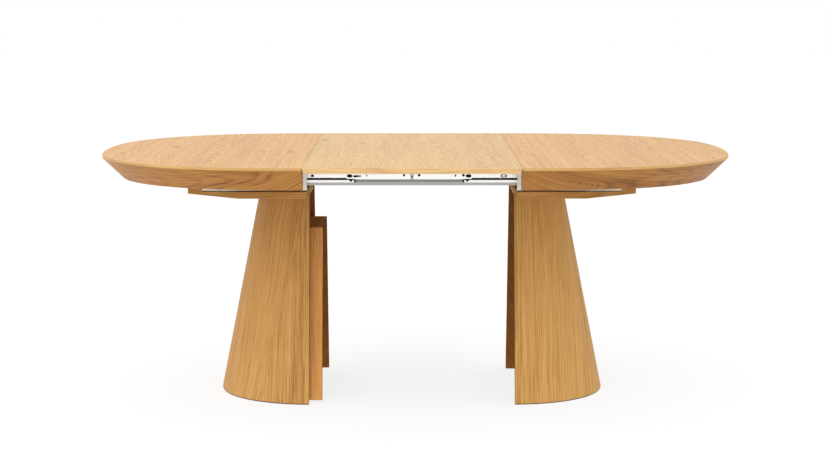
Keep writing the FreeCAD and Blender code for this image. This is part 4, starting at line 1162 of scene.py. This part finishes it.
# ---------------------------------------------------------------- pedestals
@dataclass
class Pedestal:
    """Bent veneered walls of one half pedestal, with the board that it carries."""

    END_FACING = -0.9
    INNER_FACING = -0.3

    side: Side
    wall_finish: bpy.types.Material
    guide_finish: bpy.types.Material
    inside_finish: bpy.types.Material
    board_finish: bpy.types.Material
    felt: bpy.types.Material
    base_half_length: float = 0.284
    base_half_width: float = 0.284
    neck_half_length: float = 0.159
    neck_half_width: float = 0.151
    cone_height: float = 0.628
    split: float = 0.309
    wall: float = 0.022
    guide_gap: float = 0.005
    guide_wall: float = 0.016
    guide_reach: float = 0.039
    felt_inset: float = 0.0025
    felt_width: float = 0.0190
    straight_share: float = 0.055
    apex_distance: float = 1.62
    fan_angle: float = 0.50
    grain_lean: float = 0.0
    guide_lean: float = -0.5
    columns: int = 121
    rows: int = 25
    grain_shift: float = 0.0
    board_corner: tuple[float, float] = (0.508, 0.212)
    rounding: float = 0.8 * MILLIMETRE

    def bent_wall(self, name: str, node: str, offset: float, wall: float, reach: float, lean: float,
                  finishes: tuple[bpy.types.Material, bpy.types.Material]) -> bpy.types.Object:
        """Wall of the cone between two levels, with the veneer's straight grain laid round it.

        Args:
            name: Name of the piece.
            node: Construction node that gives the two levels.
            offset: How far its outer face lies inside the cone.
            wall: Its thickness.
            reach: How far straight ends carry it past the split plane.
            lean: Turn of the grain as a share of the fan angle; 0 is upright at the back of the cone.
            finishes: Materials of the outer faces and of the ones towards the split plane; for the shell and
                the guide the second is a darker oak that paints the shade inside them.

        Returns:
            The piece.
        """
        low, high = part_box(node)
        recipe = Recipe(name + "_recipe", low=low.z, high=high.z, offset=offset, wall=wall, reach=reach,
                        share=self.straight_share if reach else 0.0, side=float(self.side.value),
                        split=self.split, base_length=self.base_half_length, base_width=self.base_half_width,
                        neck_length=self.neck_half_length, neck_width=self.neck_half_width,
                        cone=self.cone_height, apex=self.apex_distance, fan=self.fan_angle,
                        lean=lean, shift=self.grain_shift, columns=self.columns, rows=self.rows,
                        finish=finishes[0])
        size = recipe.size
        block = recipe.add("GeometryNodeMeshCube", named={
            "Size": (1.0, 1.0, 1.0), "Vertices X": size("columns"), "Vertices Y": 2,
            "Vertices Z": size("rows")})
        along, inwards, upwards = (axis + 0.5 for axis in recipe.position())
        share, side = size("share"), size("side")
        over_either = recipe.math("MAXIMUM", share - along, along - (1.0 - share))
        straight = recipe.math("MAXIMUM", over_either, 0.0) / share * size("reach")
        arc_share = recipe.math("MAXIMUM", (along - share) / (1.0 - share * 2.0), 0.0)
        angle = recipe.math("MINIMUM", arc_share, 1.0) * math.pi - math.pi / 2
        level = upwards * (size("high") - size("low")) + size("low")
        inset = inwards * size("wall") + size("offset")
        length, width = (
            (size(f"neck_{way}") - size(f"base_{way}")) / size("cone") * level + size(f"base_{way}") - inset
            for way in ("length", "width"))
        out = recipe.math("COSINE", angle) * length + size("split") - straight
        aside = recipe.math("SINE", angle) * width
        grain = self._wall_grain(recipe, angle, straight, level, inset)
        mapped = recipe.add("GeometryNodeStoreNamedAttribute", data_type="FLOAT2", domain="CORNER", named={
            "Geometry": block, "Name": GRAIN_MAP, "Value": grain})
        recipe.close(recipe.shaped(mapped, recipe.vector(out * side, aside * side, level)))
        piece = recipe.bake(name)
        self.dress_inside(piece, finishes)
        ease_edges(piece, self.rounding)
        return piece

    def dress_inside(self, piece: bpy.types.Object,
                     finishes: tuple[bpy.types.Material, bpy.types.Material]) -> None:
        """Give the faces that look towards the split plane, and the wall's ends on it, the second finish: for
        the shell and the guide a darker oak that paints the shade inside the hollow pedestal.

        Args:
            piece: Wall of the cone.
            finishes: Materials of the outer faces and of the ones towards the split plane; for the shell and
                the guide the second is a darker oak that paints the shade inside them.
        """
        piece.data.materials.clear()
        for finish in finishes:
            piece.data.materials.append(finish)
        axis = Vector((self.split * self.side.value, 0.0, 0.0))
        for polygon in piece.data.polygons:
            out = (polygon.center - axis) * Vector((1.0, 1.0, 0.0))
            at_end = polygon.normal.x * self.side.value < self.END_FACING
            looks_in = polygon.normal.dot(out.normalized()) < self.INNER_FACING
            polygon.material_index = int(at_end or looks_in)

    def _wall_grain(self, recipe: Recipe, angle: Value, straight: Value, level: Value,
                    inset: Value) -> Value:
        """Grain map: the unrolled cone on the broad faces, plain strips on the narrow ones.

        Args:
            recipe: Tree of the wall.
            angle: Turn round the cone, 0 at its back.
            straight: Distance past the split plane.
            level: Height.
            inset: Distance inside the cone.

        Returns:
            The map's two distances.
        """
        size = recipe.size
        away = size("apex") - level
        swing = (angle * (1 / math.pi) + size("lean")) * size("fan")
        swing = swing + recipe.math("SIGN", angle) * (straight / away)
        beside = inset + size("shift")
        broad = recipe.vector(away * recipe.math("COSINE", swing),
                              away * recipe.math("SINE", swing) + size("shift"))
        facing = recipe.split(recipe.add("GeometryNodeInputNormal"))
        at_end, at_rim = (recipe.math("GREATER_THAN", recipe.math("ABSOLUTE", facing[axis]), 0.5)
                          for axis in (0, 2))
        narrow = self._choose(recipe, at_end, recipe.vector(away * swing, beside),
                              recipe.vector(level, beside))
        return self._choose(recipe, recipe.math("MAXIMUM", at_end, at_rim), broad, narrow)

    def _choose(self, recipe: Recipe, test: Value, without: Value, within: Value) -> Value:
        """One of two vectors."""
        return recipe.add("GeometryNodeSwitch", input_type="VECTOR", named={
            "Switch": test, "False": without, "True": within})

    def build_board(self) -> bpy.types.Object:
        """Support board with its outer corners cut off.

        Returns:
            The piece.
        """
        low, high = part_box("right_support_board")
        chamfer, narrow = self.board_corner
        plan = [(low.x, low.y), (chamfer, low.y), (high.x, -narrow), (high.x, narrow), (chamfer, high.y),
                (low.x, high.y)]
        draft = Draft(f"{self.side.word}_carrier_board")
        bottom, top = ([(x, y, level) for x, y in plan] for level in (low.z, high.z))
        draft.face(top, lambda point: (point.y, point.x + self.grain_shift))
        draft.face(list(reversed(bottom)), lambda point: (point.y, point.x - self.grain_shift))
        run, thick = self.grain_shift, high.z - low.z
        for number in range(len(plan)):
            following = (number + 1) % len(plan)
            length = (Vector(plan[following]) - Vector(plan[number])).length
            places = iter(((run, 0.0), (run + length, 0.0), (run + length, thick), (run, thick)))
            corners = (bottom[number], bottom[following], top[following], top[number])
            draft.face(corners, lambda _point, rule=places: next(rule))
            run += length
        return draft.build((self.board_finish,), self.rounding, self.side is Side.LEFT)

    def build(self) -> None:
        """Build the walls and the board and hand them over."""
        word, body = self.side.word, f"{self.side.word}_half"
        shell = self.bent_wall(f"{word}_pedestal", f"{word}_pedestal_shell", 0.0, self.wall, 0.0,
                               self.grain_lean, (self.wall_finish, self.inside_finish))
        place_piece(shell, body, "oak_pedestal", f"{word}_pedestal_shell")
        # Dark felt ring under the shell's foot: partly the felt of the glides, partly a dark band that paints
        # the shadow gap along the foot.
        rim = self.bent_wall(f"{word}_foot_felt", f"{word}_glides", self.felt_inset, self.felt_width,
                             0.0, 0.0, (self.felt, self.felt))
        place_piece(rim, body, "felt_plastic")
        if self.side is Side.LEFT:
            guide = self.bent_wall("left_guide", "left_guide_shell", self.wall + self.guide_gap,
                                   self.guide_wall, self.guide_reach, self.guide_lean,
                                   (self.guide_finish, self.inside_finish))
            place_piece(guide, body, "oak_pedestal", "left_guide_shell")
        place_piece(self.build_board(), body, "oak_board", f"{word}_support_board")


# ---------------------------------------------------------------- fasteners and small parts
@dataclass
class Fasteners:
    """Socket screws and bolts and fluted pins, one mesh for each group."""

    steel: bpy.types.Material
    beech: bpy.types.Material
    socket_share: float = 0.5
    socket_depth: float = 0.4
    screw_rounding: float = 0.25 * MILLIMETRE
    head_facets: int = 32
    socket_facets: int = 6
    shank_facets: int = 16
    flutes: int = 12
    flute_facets: int = 6
    pin_rows: int = 8
    flute_depth: float = 0.05
    nose_share: float = 0.72
    nose_length: float = 0.14
    pin_rounding: float = 0.2 * MILLIMETRE

    def screws(self, node: str, body: str, heads_up: bool) -> None:
        """Replace a group of plain screws with socket-head ones.

        Args:
            node: Construction node of the group.
            body: Body that carries it.
            heads_up: Whether the heads are at the top.
        """
        boxes = loose_parts(node)
        low, high = boxes[0]
        head, shank, rise = self._measures(node, low, high, heads_up)
        recipe = Recipe(f"{node}_recipe", head=head, shank=shank, rise=rise, length=high.z - low.z,
                        socket=head * self.socket_share, finish=self.steel)
        size = recipe.size
        cap = recipe.rod(size("head"), size("rise"), size("rise") * -0.5, self.head_facets)
        bite_at = size("rise") * (0.5 - self.socket_depth)
        bite = recipe.rod(size("socket"), size("rise"), bite_at, self.socket_facets)
        stem_length = size("length") - size("rise")
        stem_at = stem_length * -0.5 - size("rise")
        stem = recipe.rod(size("shank"), stem_length, stem_at, self.shank_facets)
        screw = recipe.joined(recipe.cut(cap, bite), stem)
        if not heads_up:
            screw = recipe.moved(screw, turn=(math.pi, 0.0, 0.0))
        recipe.close(recipe.scatter(screw))
        level = high.z if heads_up else low.z
        places = [((a.x + b.x) / 2, (a.y + b.y) / 2, level) for a, b in boxes]
        name = node.replace("screws", "socket_screws").replace("bolts", "socket_bolts")
        piece = recipe.bake(name, places)
        ease_edges(piece, self.screw_rounding)
        place_piece(piece, body, "steel", node)

    def _measures(self, node: str, low: Vector, high: Vector,
                  heads_up: bool) -> tuple[float, float, float]:
        """Sizes of one screw of a group.

        Args:
            node: Construction node of the group.
            low: Lowest corner of the screw.
            high: Its highest corner.
            heads_up: Whether its head is at the top.

        Returns:
            Head radius, shank radius and head height.
        """
        room, middle = MILLIMETRE / 10, (low + high) / 2
        tip = low.z if heads_up else high.z
        places = [vertex.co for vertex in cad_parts[node].data.vertices
                  if all(low[axis] - room <= vertex.co[axis] <= high[axis] + room for axis in (0, 1))]
        reach = [(place.xy - middle.xy).length for place in places]
        shank = max(far for far, place in zip(reach, places) if abs(place.z - tip) < room)
        wide = [place.z for far, place in zip(reach, places) if far > shank + room]
        return max(reach), shank, max(wide) - min(wide)

    def pins(self) -> None:
        """Replace the leaf's locating pins with fluted ones."""
        boxes = loose_parts("leaf_pins")
        low, high = boxes[0]
        recipe = Recipe("leaf_pins_recipe", radius=(high.x - low.x) / 2, length=high.z - low.z,
                        flutes=float(self.flutes), depth=self.flute_depth, finish=self.beech)
        size = recipe.size
        drum = recipe.add("GeometryNodeMeshCylinder", named={
            "Vertices": self.flutes * self.flute_facets, "Side Segments": self.pin_rows,
            "Radius": 1.0, "Depth": 1.0})
        x, y, z = recipe.position()
        turn = recipe.math("ARCTAN2", y, x) * size("flutes")
        groove = (recipe.math("COSINE", turn) * 0.5 - 0.5) * size("depth") + 1.0
        nose = recipe.fade(z, -0.5, self.nose_length - 0.5, self.nose_share)
        reach = groove * nose * size("radius")
        target = recipe.vector(x * reach, y * reach, z * size("length"))
        recipe.close(recipe.scatter(recipe.shaped(drum, target)))
        places = [tuple((a + b) / 2) for a, b in boxes]
        piece = recipe.bake("leaf_fluted_pins", places)
        ease_edges(piece, self.pin_rounding)
        place_piece(piece, "leaf", "beech", "leaf_pins")

    def build(self) -> None:
        """Build every group."""
        for side in Side:
            body = f"{side.word}_half"
            self.screws(f"{side.word}_rail_screws", body, True)
            self.screws(f"{side.word}_top_screws", body, False)
            self.screws(f"{side.word}_pedestal_bolts", body, False)
        self.pins()


@dataclass(frozen=True)
class Dome:
    """Flat oval dome on the carriers, at its place along them."""

    place: float
    level: float
    half_width: float
    half_height: float
    rise: float
    slot: str = "black_plastic"


@dataclass
class CarrierDetails:
    """Screws, plugs, caps and a spring clip on the carriers, and what fills the notches of the slide bars."""

    finishes: dict[str, bpy.types.Material]
    domes: tuple[Dome, ...] = (
        Dome(-0.2915, 0.6924, 0.0046, 0.0040, 0.0014),
        Dome(-0.1330, 0.6940, 0.0021, 0.0021, 0.0006),
        Dome(-0.0233, 0.6940, 0.0035, 0.0036, 0.0010),
        Dome(0.0208, 0.6940, 0.0043, 0.0038, 0.0010),
        Dome(0.1273, 0.6930, 0.0028, 0.0030, 0.0010),
        Dome(0.1505, 0.6938, 0.0042, 0.0038, 0.0010),
        Dome(0.1655, 0.6920, 0.0090, 0.0050, 0.0030),
        # Black oval under the white cap: partly a dark washer, partly painted shade at the cap's sides.
        Dome(0.2690, 0.6922, 0.0100, 0.0047, 0.0008),
        Dome(0.2690, 0.6926, 0.0064, 0.0040, 0.0014, "white_steel"))
    lever_boss: Dome = Dome(-0.1825, 0.6920, 0.0085, 0.0050, 0.0029)
    sphere: tuple[int, int] = (32, 16)
    clip_ring: float = 0.0036
    clip_wire: float = 0.0013
    clip_leg: float = 0.0090
    ring_facets: int = 28
    wire_facets: int = 10
    leg_spread: float = 0.4
    leg_drop: float = 0.8
    leg_splay: float = 0.2
    ring_level: float = 0.6938
    notch: float = 0.0087
    notch_radius: float = 0.0048
    notch_stand: float = 0.0003
    head_thickness: float = 0.0052
    room_above: Point = (0.05, 0.05, 0.02)
    finger: tuple[tuple[float, float, float], ...] = (
        (-0.1706, 0.6878, 0.6938), (-0.1640, 0.6880, 0.6940), (-0.1478, 0.6906, 0.6926))
    web: tuple[tuple[float, float, float], ...] = ((-0.1825, 0.6900, 0.6925), (-0.1640, 0.6900, 0.6925))
    finger_depth: float = 0.0029
    web_depth: float = 0.0012
    tail: tuple[float, float] = (0.0015, 0.0218)
    tail_levels: tuple[float, float] = (0.6787, 0.6829)
    tail_depth: float = 0.3250
    tail_thickness: float = 0.0016

    def dome(self, name: str, dome: Dome, places: Sequence[Point]) -> bpy.types.Object:
        """One flat oval dome at each place.

        Args:
            name: Name of the piece.
            dome: Its sizes.
            places: Middle of each dome's foot.

        Returns:
            The piece.
        """
        recipe = Recipe(f"{name}_recipe", width=dome.half_width, height=dome.half_height, rise=dome.rise,
                        finish=self.finishes[dome.slot])
        around, rings = self.sphere
        ball = recipe.add("GeometryNodeMeshUVSphere", named={
            "Segments": around, "Rings": rings, "Radius": 1.0})
        x, y, z = recipe.position()
        target = recipe.vector(x * recipe.size("width"), z * recipe.size("rise"), y * recipe.size("height"))
        recipe.close(recipe.scatter(recipe.add("GeometryNodeFlipFaces", recipe.shaped(ball, target))))
        return recipe.bake(name, places)

    def build_domes(self, slot: str, face: float) -> None:
        """Build the domes of one finish on both carriers.

        Args:
            slot: Slot of the finish.
            face: Distance of the carriers' outer faces from the middle of the table.
        """
        parts = []
        for number, dome in enumerate(dome for dome in self.domes if dome.slot == slot):
            places = [(dome.place, sign * face, dome.level) for sign in (-1, 1)]
            parts.append(self.dome(f"part_{number}", dome, places))
        if slot == "black_plastic":
            boss = self.lever_boss
            parts.append(self.dome("part_rear_stop", boss, [(boss.place, face, boss.level)]))
        piece = join_pieces(f"carrier_{slot}_heads", parts)
        piece.data.shade_smooth()
        replaced = ("carrier_rivets", "stop_buttons") if slot == "black_plastic" else ()
        place_piece(piece, "centre_frame", slot, *replaced)

    def build_clips(self, face: float) -> None:
        """Wire clips in the middle of both carriers: a ring with two legs.

        Args:
            face: Distance of the carriers' outer faces from the middle of the table.
        """
        recipe = Recipe("clip_recipe", ring=self.clip_ring, wire=self.clip_wire, leg=self.clip_leg,
                        finish=self.finishes["spring_steel"])
        size = recipe.size
        circle, wire = (
            recipe.add("GeometryNodeCurvePrimitiveCircle", named={"Resolution": around, "Radius": size(word)})
            for word, around in (("ring", self.ring_facets), ("wire", self.wire_facets)))
        ring = recipe.add("GeometryNodeCurveToMesh", circle, wire)
        upright = recipe.moved(ring, turn=(math.pi / 2, 0.0, 0.0))
        legs = []
        for way in (-1, 1):
            rod = recipe.rod(size("wire"), size("leg"), size("leg") * -0.5, self.wire_facets)
            across, down = size("ring") * (self.leg_spread * way), size("ring") * -self.leg_drop
            foot = recipe.vector(across, 0.0, down)
            legs.append(recipe.moved(rod, foot, (0.0, -self.leg_splay * way, 0.0)))
        recipe.close(recipe.scatter(recipe.joined(upright, *legs)))
        places = [(0.0, sign * (face + self.clip_wire), self.ring_level) for sign in (-1, 1)]
        piece = recipe.bake("carrier_spring_clips", places)
        piece.data.shade_smooth()
        place_piece(piece, "centre_frame", "steel")

    def build_lever(self, face: float) -> None:
        """Lock lever in front of the front carrier: oval boss and wedge-shaped finger on a bright web.

        Args:
            face: Distance of the carrier's outer face from the middle of the table.
        """
        draft = Draft("part_finger")
        layers = ((self.finger, self.finger_depth), (self.web, self.web_depth))
        for finish, (stations, depth) in enumerate(layers):
            front, rear = ([(x, -away, low) for x, low, _ in stations]
                           + [(x, -away, high) for x, _, high in reversed(stations)]
                           for away in (face + depth, face))
            draft.prism(front, rear, finish)
        finger = draft.build([self.finishes[slot] for slot in ("black_plastic", "white_steel")], 0.0)
        finger.modifiers.clear()
        middle = (self.lever_boss.place, -face, self.lever_boss.level)
        boss = self.dome("part_boss", self.lever_boss, [middle])
        boss.data.shade_smooth()
        place_piece(join_pieces("lock_lever_grip", [boss, finger]), "lock", "black_plastic", "lock_lever")

    def build_slide_trim(self, side: Side) -> None:
        """Black half discs in the notches of one side's slide bars, and the inner ends of their wipers.

        Args:
            side: The side.
        """
        word = side.word
        bar_low, bar_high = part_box(f"{word}_slide_bar_front")
        start = min(abs(bar_low.x), abs(bar_high.x))
        tail_near, tail_far = self.tail
        tail_low, tail_high = self.tail_levels
        recipe = Recipe(f"{word}_slide_trim_recipe", radius=self.notch_radius,
                        width=self.head_thickness + self.notch_stand,
                        finish=self.finishes["black_plastic"])
        drum = recipe.rod(recipe.size("radius"), recipe.size("width"), 0.0, self.ring_facets)
        lying = recipe.moved(drum, turn=(math.pi / 2, 0.0, 0.0))
        room = recipe.add("GeometryNodeMeshCube", named={"Size": self.room_above})
        above = recipe.moved(room, (0.0, 0.0, self.room_above[2] / 2))
        recipe.close(recipe.scatter(recipe.cut(lying, above)))
        middle = -bar_low.y - self.head_thickness / 2
        places = [(side.value * (start + self.notch), sign * middle, bar_high.z) for sign in (-1, 1)]
        parts = [recipe.bake("part_notches", places)]
        wiper = Recipe(f"{word}_wiper_recipe", long=tail_far - tail_near, thick=self.tail_thickness,
                       tall=tail_high - tail_low, finish=self.finishes["brown_felt"])
        extent = wiper.vector(*(wiper.size(word) for word in ("long", "thick", "tall")))
        wiper.close(wiper.scatter(wiper.add("GeometryNodeMeshCube", extent)))
        place = side.value * (start + (tail_near + tail_far) / 2)
        parts.append(wiper.bake("part_wipers", [
            (place, sign * self.tail_depth, (tail_low + tail_high) / 2) for sign in (-1, 1)]))
        place_piece(join_pieces(f"{word}_slide_trim", parts), f"{word}_slides", "black_plastic")

    def build(self) -> None:
        """Build every group."""
        face = -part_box("leaf_carrier_front")[0].y
        for slot in ("black_plastic", "white_steel"):
            self.build_domes(slot, face)
        self.build_clips(face)
        self.build_lever(face)
        for side in Side:
            self.build_slide_trim(side)


@dataclass
class JointPlates:
    """Bright angles that close the edge's ends on the joint, their lower edge rising towards the rim."""

    side: Side
    finish: bpy.types.Material
    wall: float = 0.003
    outer_rise: float = 0.016
    rounding: float = 0.3 * MILLIMETRE

    def build(self) -> None:
        """Build both angles of one half and hand them over."""
        word = self.side.word
        corners = [Vector(corner) * self.side.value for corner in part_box(f"{word}_joint_plates")]
        joint, far = sorted(corner.x for corner in corners)
        low, high = sorted(abs(corner.z) for corner in corners)
        inner = min(abs(vertex.co.y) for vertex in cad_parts[f"{word}_joint_plates"].data.vertices)
        outer = abs(corners[0].y)
        draft = Draft(f"{word}_joint_angles")
        for sign in (-1, 1):
            near, away = ([(x, sign * place, z) for x, z in (
                (joint, foot), (joint + self.wall, foot), (joint + self.wall, high - self.wall),
                (far, high - self.wall), (far, high), (joint, high))]
                for place, foot in ((inner, low), (outer, low + self.outer_rise)))
            draft.prism(*((near, away) if sign > 0 else (away, near)))
        piece = draft.build((self.finish,), self.rounding, self.side is Side.LEFT)
        place_piece(piece, f"{word}_half", "aluminium", f"{word}_joint_plates")


@dataclass
class Mechanism:
    """Rails, carriers, synchroniser and small parts, which keep the construction's meshes."""

    finishes: dict[str, bpy.types.Material]

    def build(self) -> None:
        """Dress each construction node that still shows."""
        for name, node in sorted(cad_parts.items()):
            if node.hide_render:
                continue
            finish = self.finish_of(name)
            node.data.materials.clear()
            node.data.materials.append(finish)
            log.info("%s is finished in %s", name, finish.name)

    def finish_of(self, name: str) -> bpy.types.Material:
        """Material for one node, by the words in its name.

        Args:
            name: Name of the node.

        Returns:
            The material.

        Raises:
            ValueError: If no entry of NODE_FINISHES fits.
        """
        for words, slot in NODE_FINISHES:
            if any(word in name for word in words):
                return self.finishes[slot]
        raise ValueError(f"{name} has no finish")


NODE_FINISHES = (
    (("former", "spacers"), "plywood"),
    (("glides",), "felt_plastic"),
    (("slide_caps",), "brown_felt"),
    (("stop_buttons", "lever", "bracket"), "black_plastic"),
    (("outer_rail",), "bright_rail"),
    (("slide_bar",), "bright_steel"),
    (("leaf_carrier",), "white_steel"),
    (("joint_plates", "stiffener", "rail_front", "rail_rear"), "aluminium"),
    (("rack_guides",), "nylon"),
    (("leaf_pads", "packers"), "rubber"),
    (("tie", "plate", "axle", "pinion", "rack", "rivet", "screws", "bolts"), "steel"),
)


# ---------------------------------------------------------------- studio
@dataclass
class Studio:
    """Plain pale floor, soft light and the camera."""

    camera_place: Point = (-0.0102, -5.7837, 1.2247)
    camera_pitch: float = 0.1234
    camera_yaw: float = -0.0024
    focal_length: float = 81.67
    floor_size: float = 60.0
    floor_shade: float = 0.18
    floor_glow: float = 0.80
    floor_roughness: float = 0.9
    horizon: float = 1.0
    overhead: float = 0.5
    softbox_place: Point = (-2.4, -3.7, 3.6)
    softbox_aim: Point = (0.0, 0.0, 0.6)
    softbox_size: float = 3.6
    softbox_power: float = 70.0

    def build_camera(self) -> None:
        """Camera at the height of a standing viewer, in front of the leaf."""
        data = bpy.data.cameras.new("camera")
        data.lens, data.sensor_width, data.sensor_fit = self.focal_length, SENSOR_WIDTH, "HORIZONTAL"
        camera = bpy.data.objects.new("camera", data)
        camera.location = self.camera_place
        camera.rotation_euler = (math.pi / 2 - self.camera_pitch, 0.0, self.camera_yaw)
        bpy.context.scene.collection.objects.link(camera)
        bpy.context.scene.camera = camera

    def build_floor(self) -> None:
        """Seamless white floor."""
        half = self.floor_size / 2
        mesh = bpy.data.meshes.new("floor")
        corners = [(x * half, y * half, 0.0) for x, y in ((-1, -1), (1, -1), (1, 1), (-1, 1))]
        mesh.from_pydata(corners, [], [(0, 1, 2, 3)])
        floor = bpy.data.objects.new("floor", mesh)
        bpy.context.scene.collection.objects.link(floor)
        sheet = Shader("studio_floor")
        mesh.materials.append(sheet.dress((self.floor_shade,) * 3, self.floor_roughness,
                                          Specular_IOR_Level=0.0,
                                          Emission_Strength=self.floor_glow))

    def build_sky(self) -> None:
        """White surroundings, brighter overhead."""
        world = bpy.data.worlds.new("studio")
        world.use_nodes = True
        sky = NodeSheet(world.node_tree)
        upwards = sky.split(sky.add("ShaderNodeTexCoord", output="Generated"))[2]
        background = world.node_tree.nodes["Background"]
        sky.feed(background.inputs["Color"], (1.0, 1.0, 1.0))
        sky.feed(background.inputs["Strength"],
                 sky.math("MAXIMUM", upwards, 0.0) * self.overhead + self.horizon)
        bpy.context.scene.world = world

    def build_softbox(self) -> None:
        """Large soft box at the front left."""
        data = bpy.data.lights.new("softbox", "AREA")
        data.shape, data.size, data.energy = "SQUARE", self.softbox_size, self.softbox_power
        softbox = bpy.data.objects.new("softbox", data)
        softbox.location = self.softbox_place
        way = Vector(self.softbox_aim) - Vector(self.softbox_place)
        softbox.rotation_euler = way.to_track_quat("-Z", "Y").to_euler()
        bpy.context.scene.collection.objects.link(softbox)

    def build(self) -> None:
        """Set up floor, light and camera."""
        bpy.context.scene.view_settings.view_transform = "Standard"
        self.build_floor()
        self.build_softbox()
        self.build_sky()
        self.build_camera()


# ---------------------------------------------------------------- finishes of this table
GRAIN_SHIFT = 3.0       # how far the halves' grain maps lie from the middle, so that no grain shows twice
GRAIN_LEANS = {Side.LEFT: -0.2, Side.RIGHT: 0.5}


def oak_finishes() -> dict[str, bpy.types.Material]:
    """The table's oaks.

    Returns:
        Materials by name.
    """
    tops = Oak("oak_top", (205, 157, 82), (188, 137, 64), (159, 102, 32), sheet_width=0.165,
               pore_strength=0.15, line_stretch=3.0, line_density=230, ring_strength=0.34,
               ring_gaps=0.45, streak_strength=0.3, line_strength=0.34,
               knots=(Knot(0.069, -0.738, 0.016), Knot(-0.117, -0.370, 0.014, 0.7),
                      Knot(0.350, -0.563, 0.011, 0.5)),
               flames=(Flame(-0.047, 0.848, 0.16, 0.06, 7.0),))
    leaf = Oak("oak_leaf", (206, 166, 101), (190, 148, 83), (160, 110, 48), sheet_width=0.15,
               pore_strength=0.15, line_stretch=2.0, line_density=230, ring_strength=0.30,
               ring_gaps=0.25, ring_spacing=0.0052, streak_strength=0.2, line_strength=0.32,
               tone_strength=0.15, waviness=0.03, wave_pitch=0.13,
               knots=(Knot(0.349, -0.284, 0.016, 0.7), Knot(0.225, -0.160, 0.013, 0.6),
                      Knot(-0.292, -0.100, 0.007), Knot(-0.154, 0.136, 0.006)))
    edge = dict(sheet_width=0.30, ring_spacing=0.010, cut_slope=0.10, cut_depth=0.10, ring_strength=0.5,
                streak_strength=0.9, line_strength=0.45, tone_strength=0.7, gloss=0.2)
    # The edge shades are darker than the top's, partly the veneer's own colour and partly painted shade under
    # the rim; the right edge is a little darker than the left as painted shade of the light from the front
    # left.
    edges = [
        Oak("oak_edge_left", (180, 127, 61), (165, 110, 48), (124, 72, 25), **edge),
        Oak("oak_edge_right", (174, 121, 57), (153, 100, 41), (116, 67, 23),
            flames=(Flame(GRAIN_SHIFT + 0.145, 0.115, 0.07, 0.026, 6.0),), **edge)]
    lipping = Oak("oak_lipping", (209, 169, 106), (192, 149, 86), (150, 104, 54), sheet_width=0.5,
                  ring_strength=0.15, ring_spacing=0.02)
    leaf_edge = Oak("oak_leaf_edge", (224, 193, 144), (206, 169, 115), (157, 113, 67),
                    sheet_width=0.5, ring_strength=0.3, ring_spacing=0.02)
    wall = dict(sheet_width=0.17, cut_depth=0.16, cut_slope=0.02, ring_strength=0.1,
                line_strength=0.44, line_stretch=1.5, line_density=360, streak_strength=0.25,
                fibre_strength=1.2, pore_strength=0.3, waviness=0.004, roughness=0.55, gloss=0.12)
    shells = [
        Oak("oak_pedestal_left", (203, 156, 94), (186, 137, 76), (146, 94, 46),
            seams=(Seam(-GRAIN_SHIFT, 0.1987, -0.057, 0.15),), **wall),
        Oak("oak_pedestal_right", (208, 163, 98), (192, 145, 81), (152, 101, 50), **wall),
        Oak("oak_guide", (215, 160, 92), (198, 140, 74), (151, 94, 42), **wall)]
    # Darker copy of the wall oak for the faces inside the shells and their ends on the split plane: painted
    # shade of the hollow under the table.
    inside = Oak("oak_inside", (154, 104, 52), (136, 88, 44), (101, 60, 28), sheet_width=0.17,
                 ring_strength=0.1, waviness=0.004, roughness=0.6, gloss=0.0)
    board = Oak("oak_board", (206, 160, 99), (176, 128, 73), (140, 91, 44), sheet_width=0.14, gloss=0.0)
    oaks = (tops, leaf, *edges, lipping, leaf_edge, *shells, inside, board)
    return {oak.name: oak.material() for oak in oaks}


def other_finishes() -> dict[str, bpy.types.Material]:
    """Metals, plastics and plain woods by the record's slot names.

    Returns:
        Materials by slot.
    """
    black, dusty = (0.005, 0.005, 0.005), (0.010, 0.010, 0.011)
    finishes = (
        Plywood(), Beech(),
        Metal("aluminium", (0.49, 0.50, 0.51), 0.48),
        Metal("bright_rail", (0.74, 0.72, 0.69), 0.34),
        Metal("spring_steel", (0.06, 0.06, 0.06), 0.50, lines=0.05),
        Metal("bright_steel", (0.93, 0.93, 0.92), 0.24, lines=0.05),
        Metal("joint_metal", (0.95, 0.93, 0.90), 0.55, lines=0.05),
        Metal("steel", (0.56, 0.57, 0.58), 0.36, lines=0.05, mottle=0.10, draw_pitch=300.0),
        Metal("white_steel", (0.96, 0.96, 0.95), 0.24, lines=0.03, mottle=0.02),
        Coating("black_plastic", black, dusty, 0.55, gloss=0.15),
        Coating("brown_felt", (0.060, 0.032, 0.018), (0.080, 0.045, 0.026), 0.9,
                pitch=2200.0, depth=0.0002, gloss=0.1),
        Coating("nylon", (0.72, 0.70, 0.64), (0.66, 0.63, 0.56), 0.45),
        Coating("rubber", (0.03, 0.03, 0.031), (0.05, 0.049, 0.047), 0.7),
        Coating("felt_plastic", (0.085, 0.070, 0.058), (0.12, 0.105, 0.09), 0.9,
                pitch=2200.0, depth=0.0003, sheen=0.3),
    )
    return {finish.name: finish.material() for finish in finishes}


def main() -> None:
    """Build the table's looks, the studio and the camera."""
    logging.basicConfig(level=logging.INFO, format="%(message)s")
    oak, other = oak_finishes(), other_finishes()
    for side, lean in GRAIN_LEANS.items():
        shift = GRAIN_SHIFT * side.value
        HalfTop(side, oak["oak_top"], oak["oak_lipping"], oak[f"oak_edge_{side.word}"],
                grain_shift=shift).build()
        Pedestal(side, oak[f"oak_pedestal_{side.word}"], oak["oak_guide"], oak["oak_inside"],
                 oak["oak_board"], other["felt_plastic"], grain_shift=shift, grain_lean=lean).build()
        JointPlates(side, other["joint_metal"]).build()
    Leaf(oak["oak_leaf"], oak["oak_leaf_edge"]).build()
    Fasteners(other["steel"], other["beech"]).build()
    CarrierDetails(other).build()
    Mechanism(other).build()
    Studio().build()


if __name__ == "__main__":
    main()
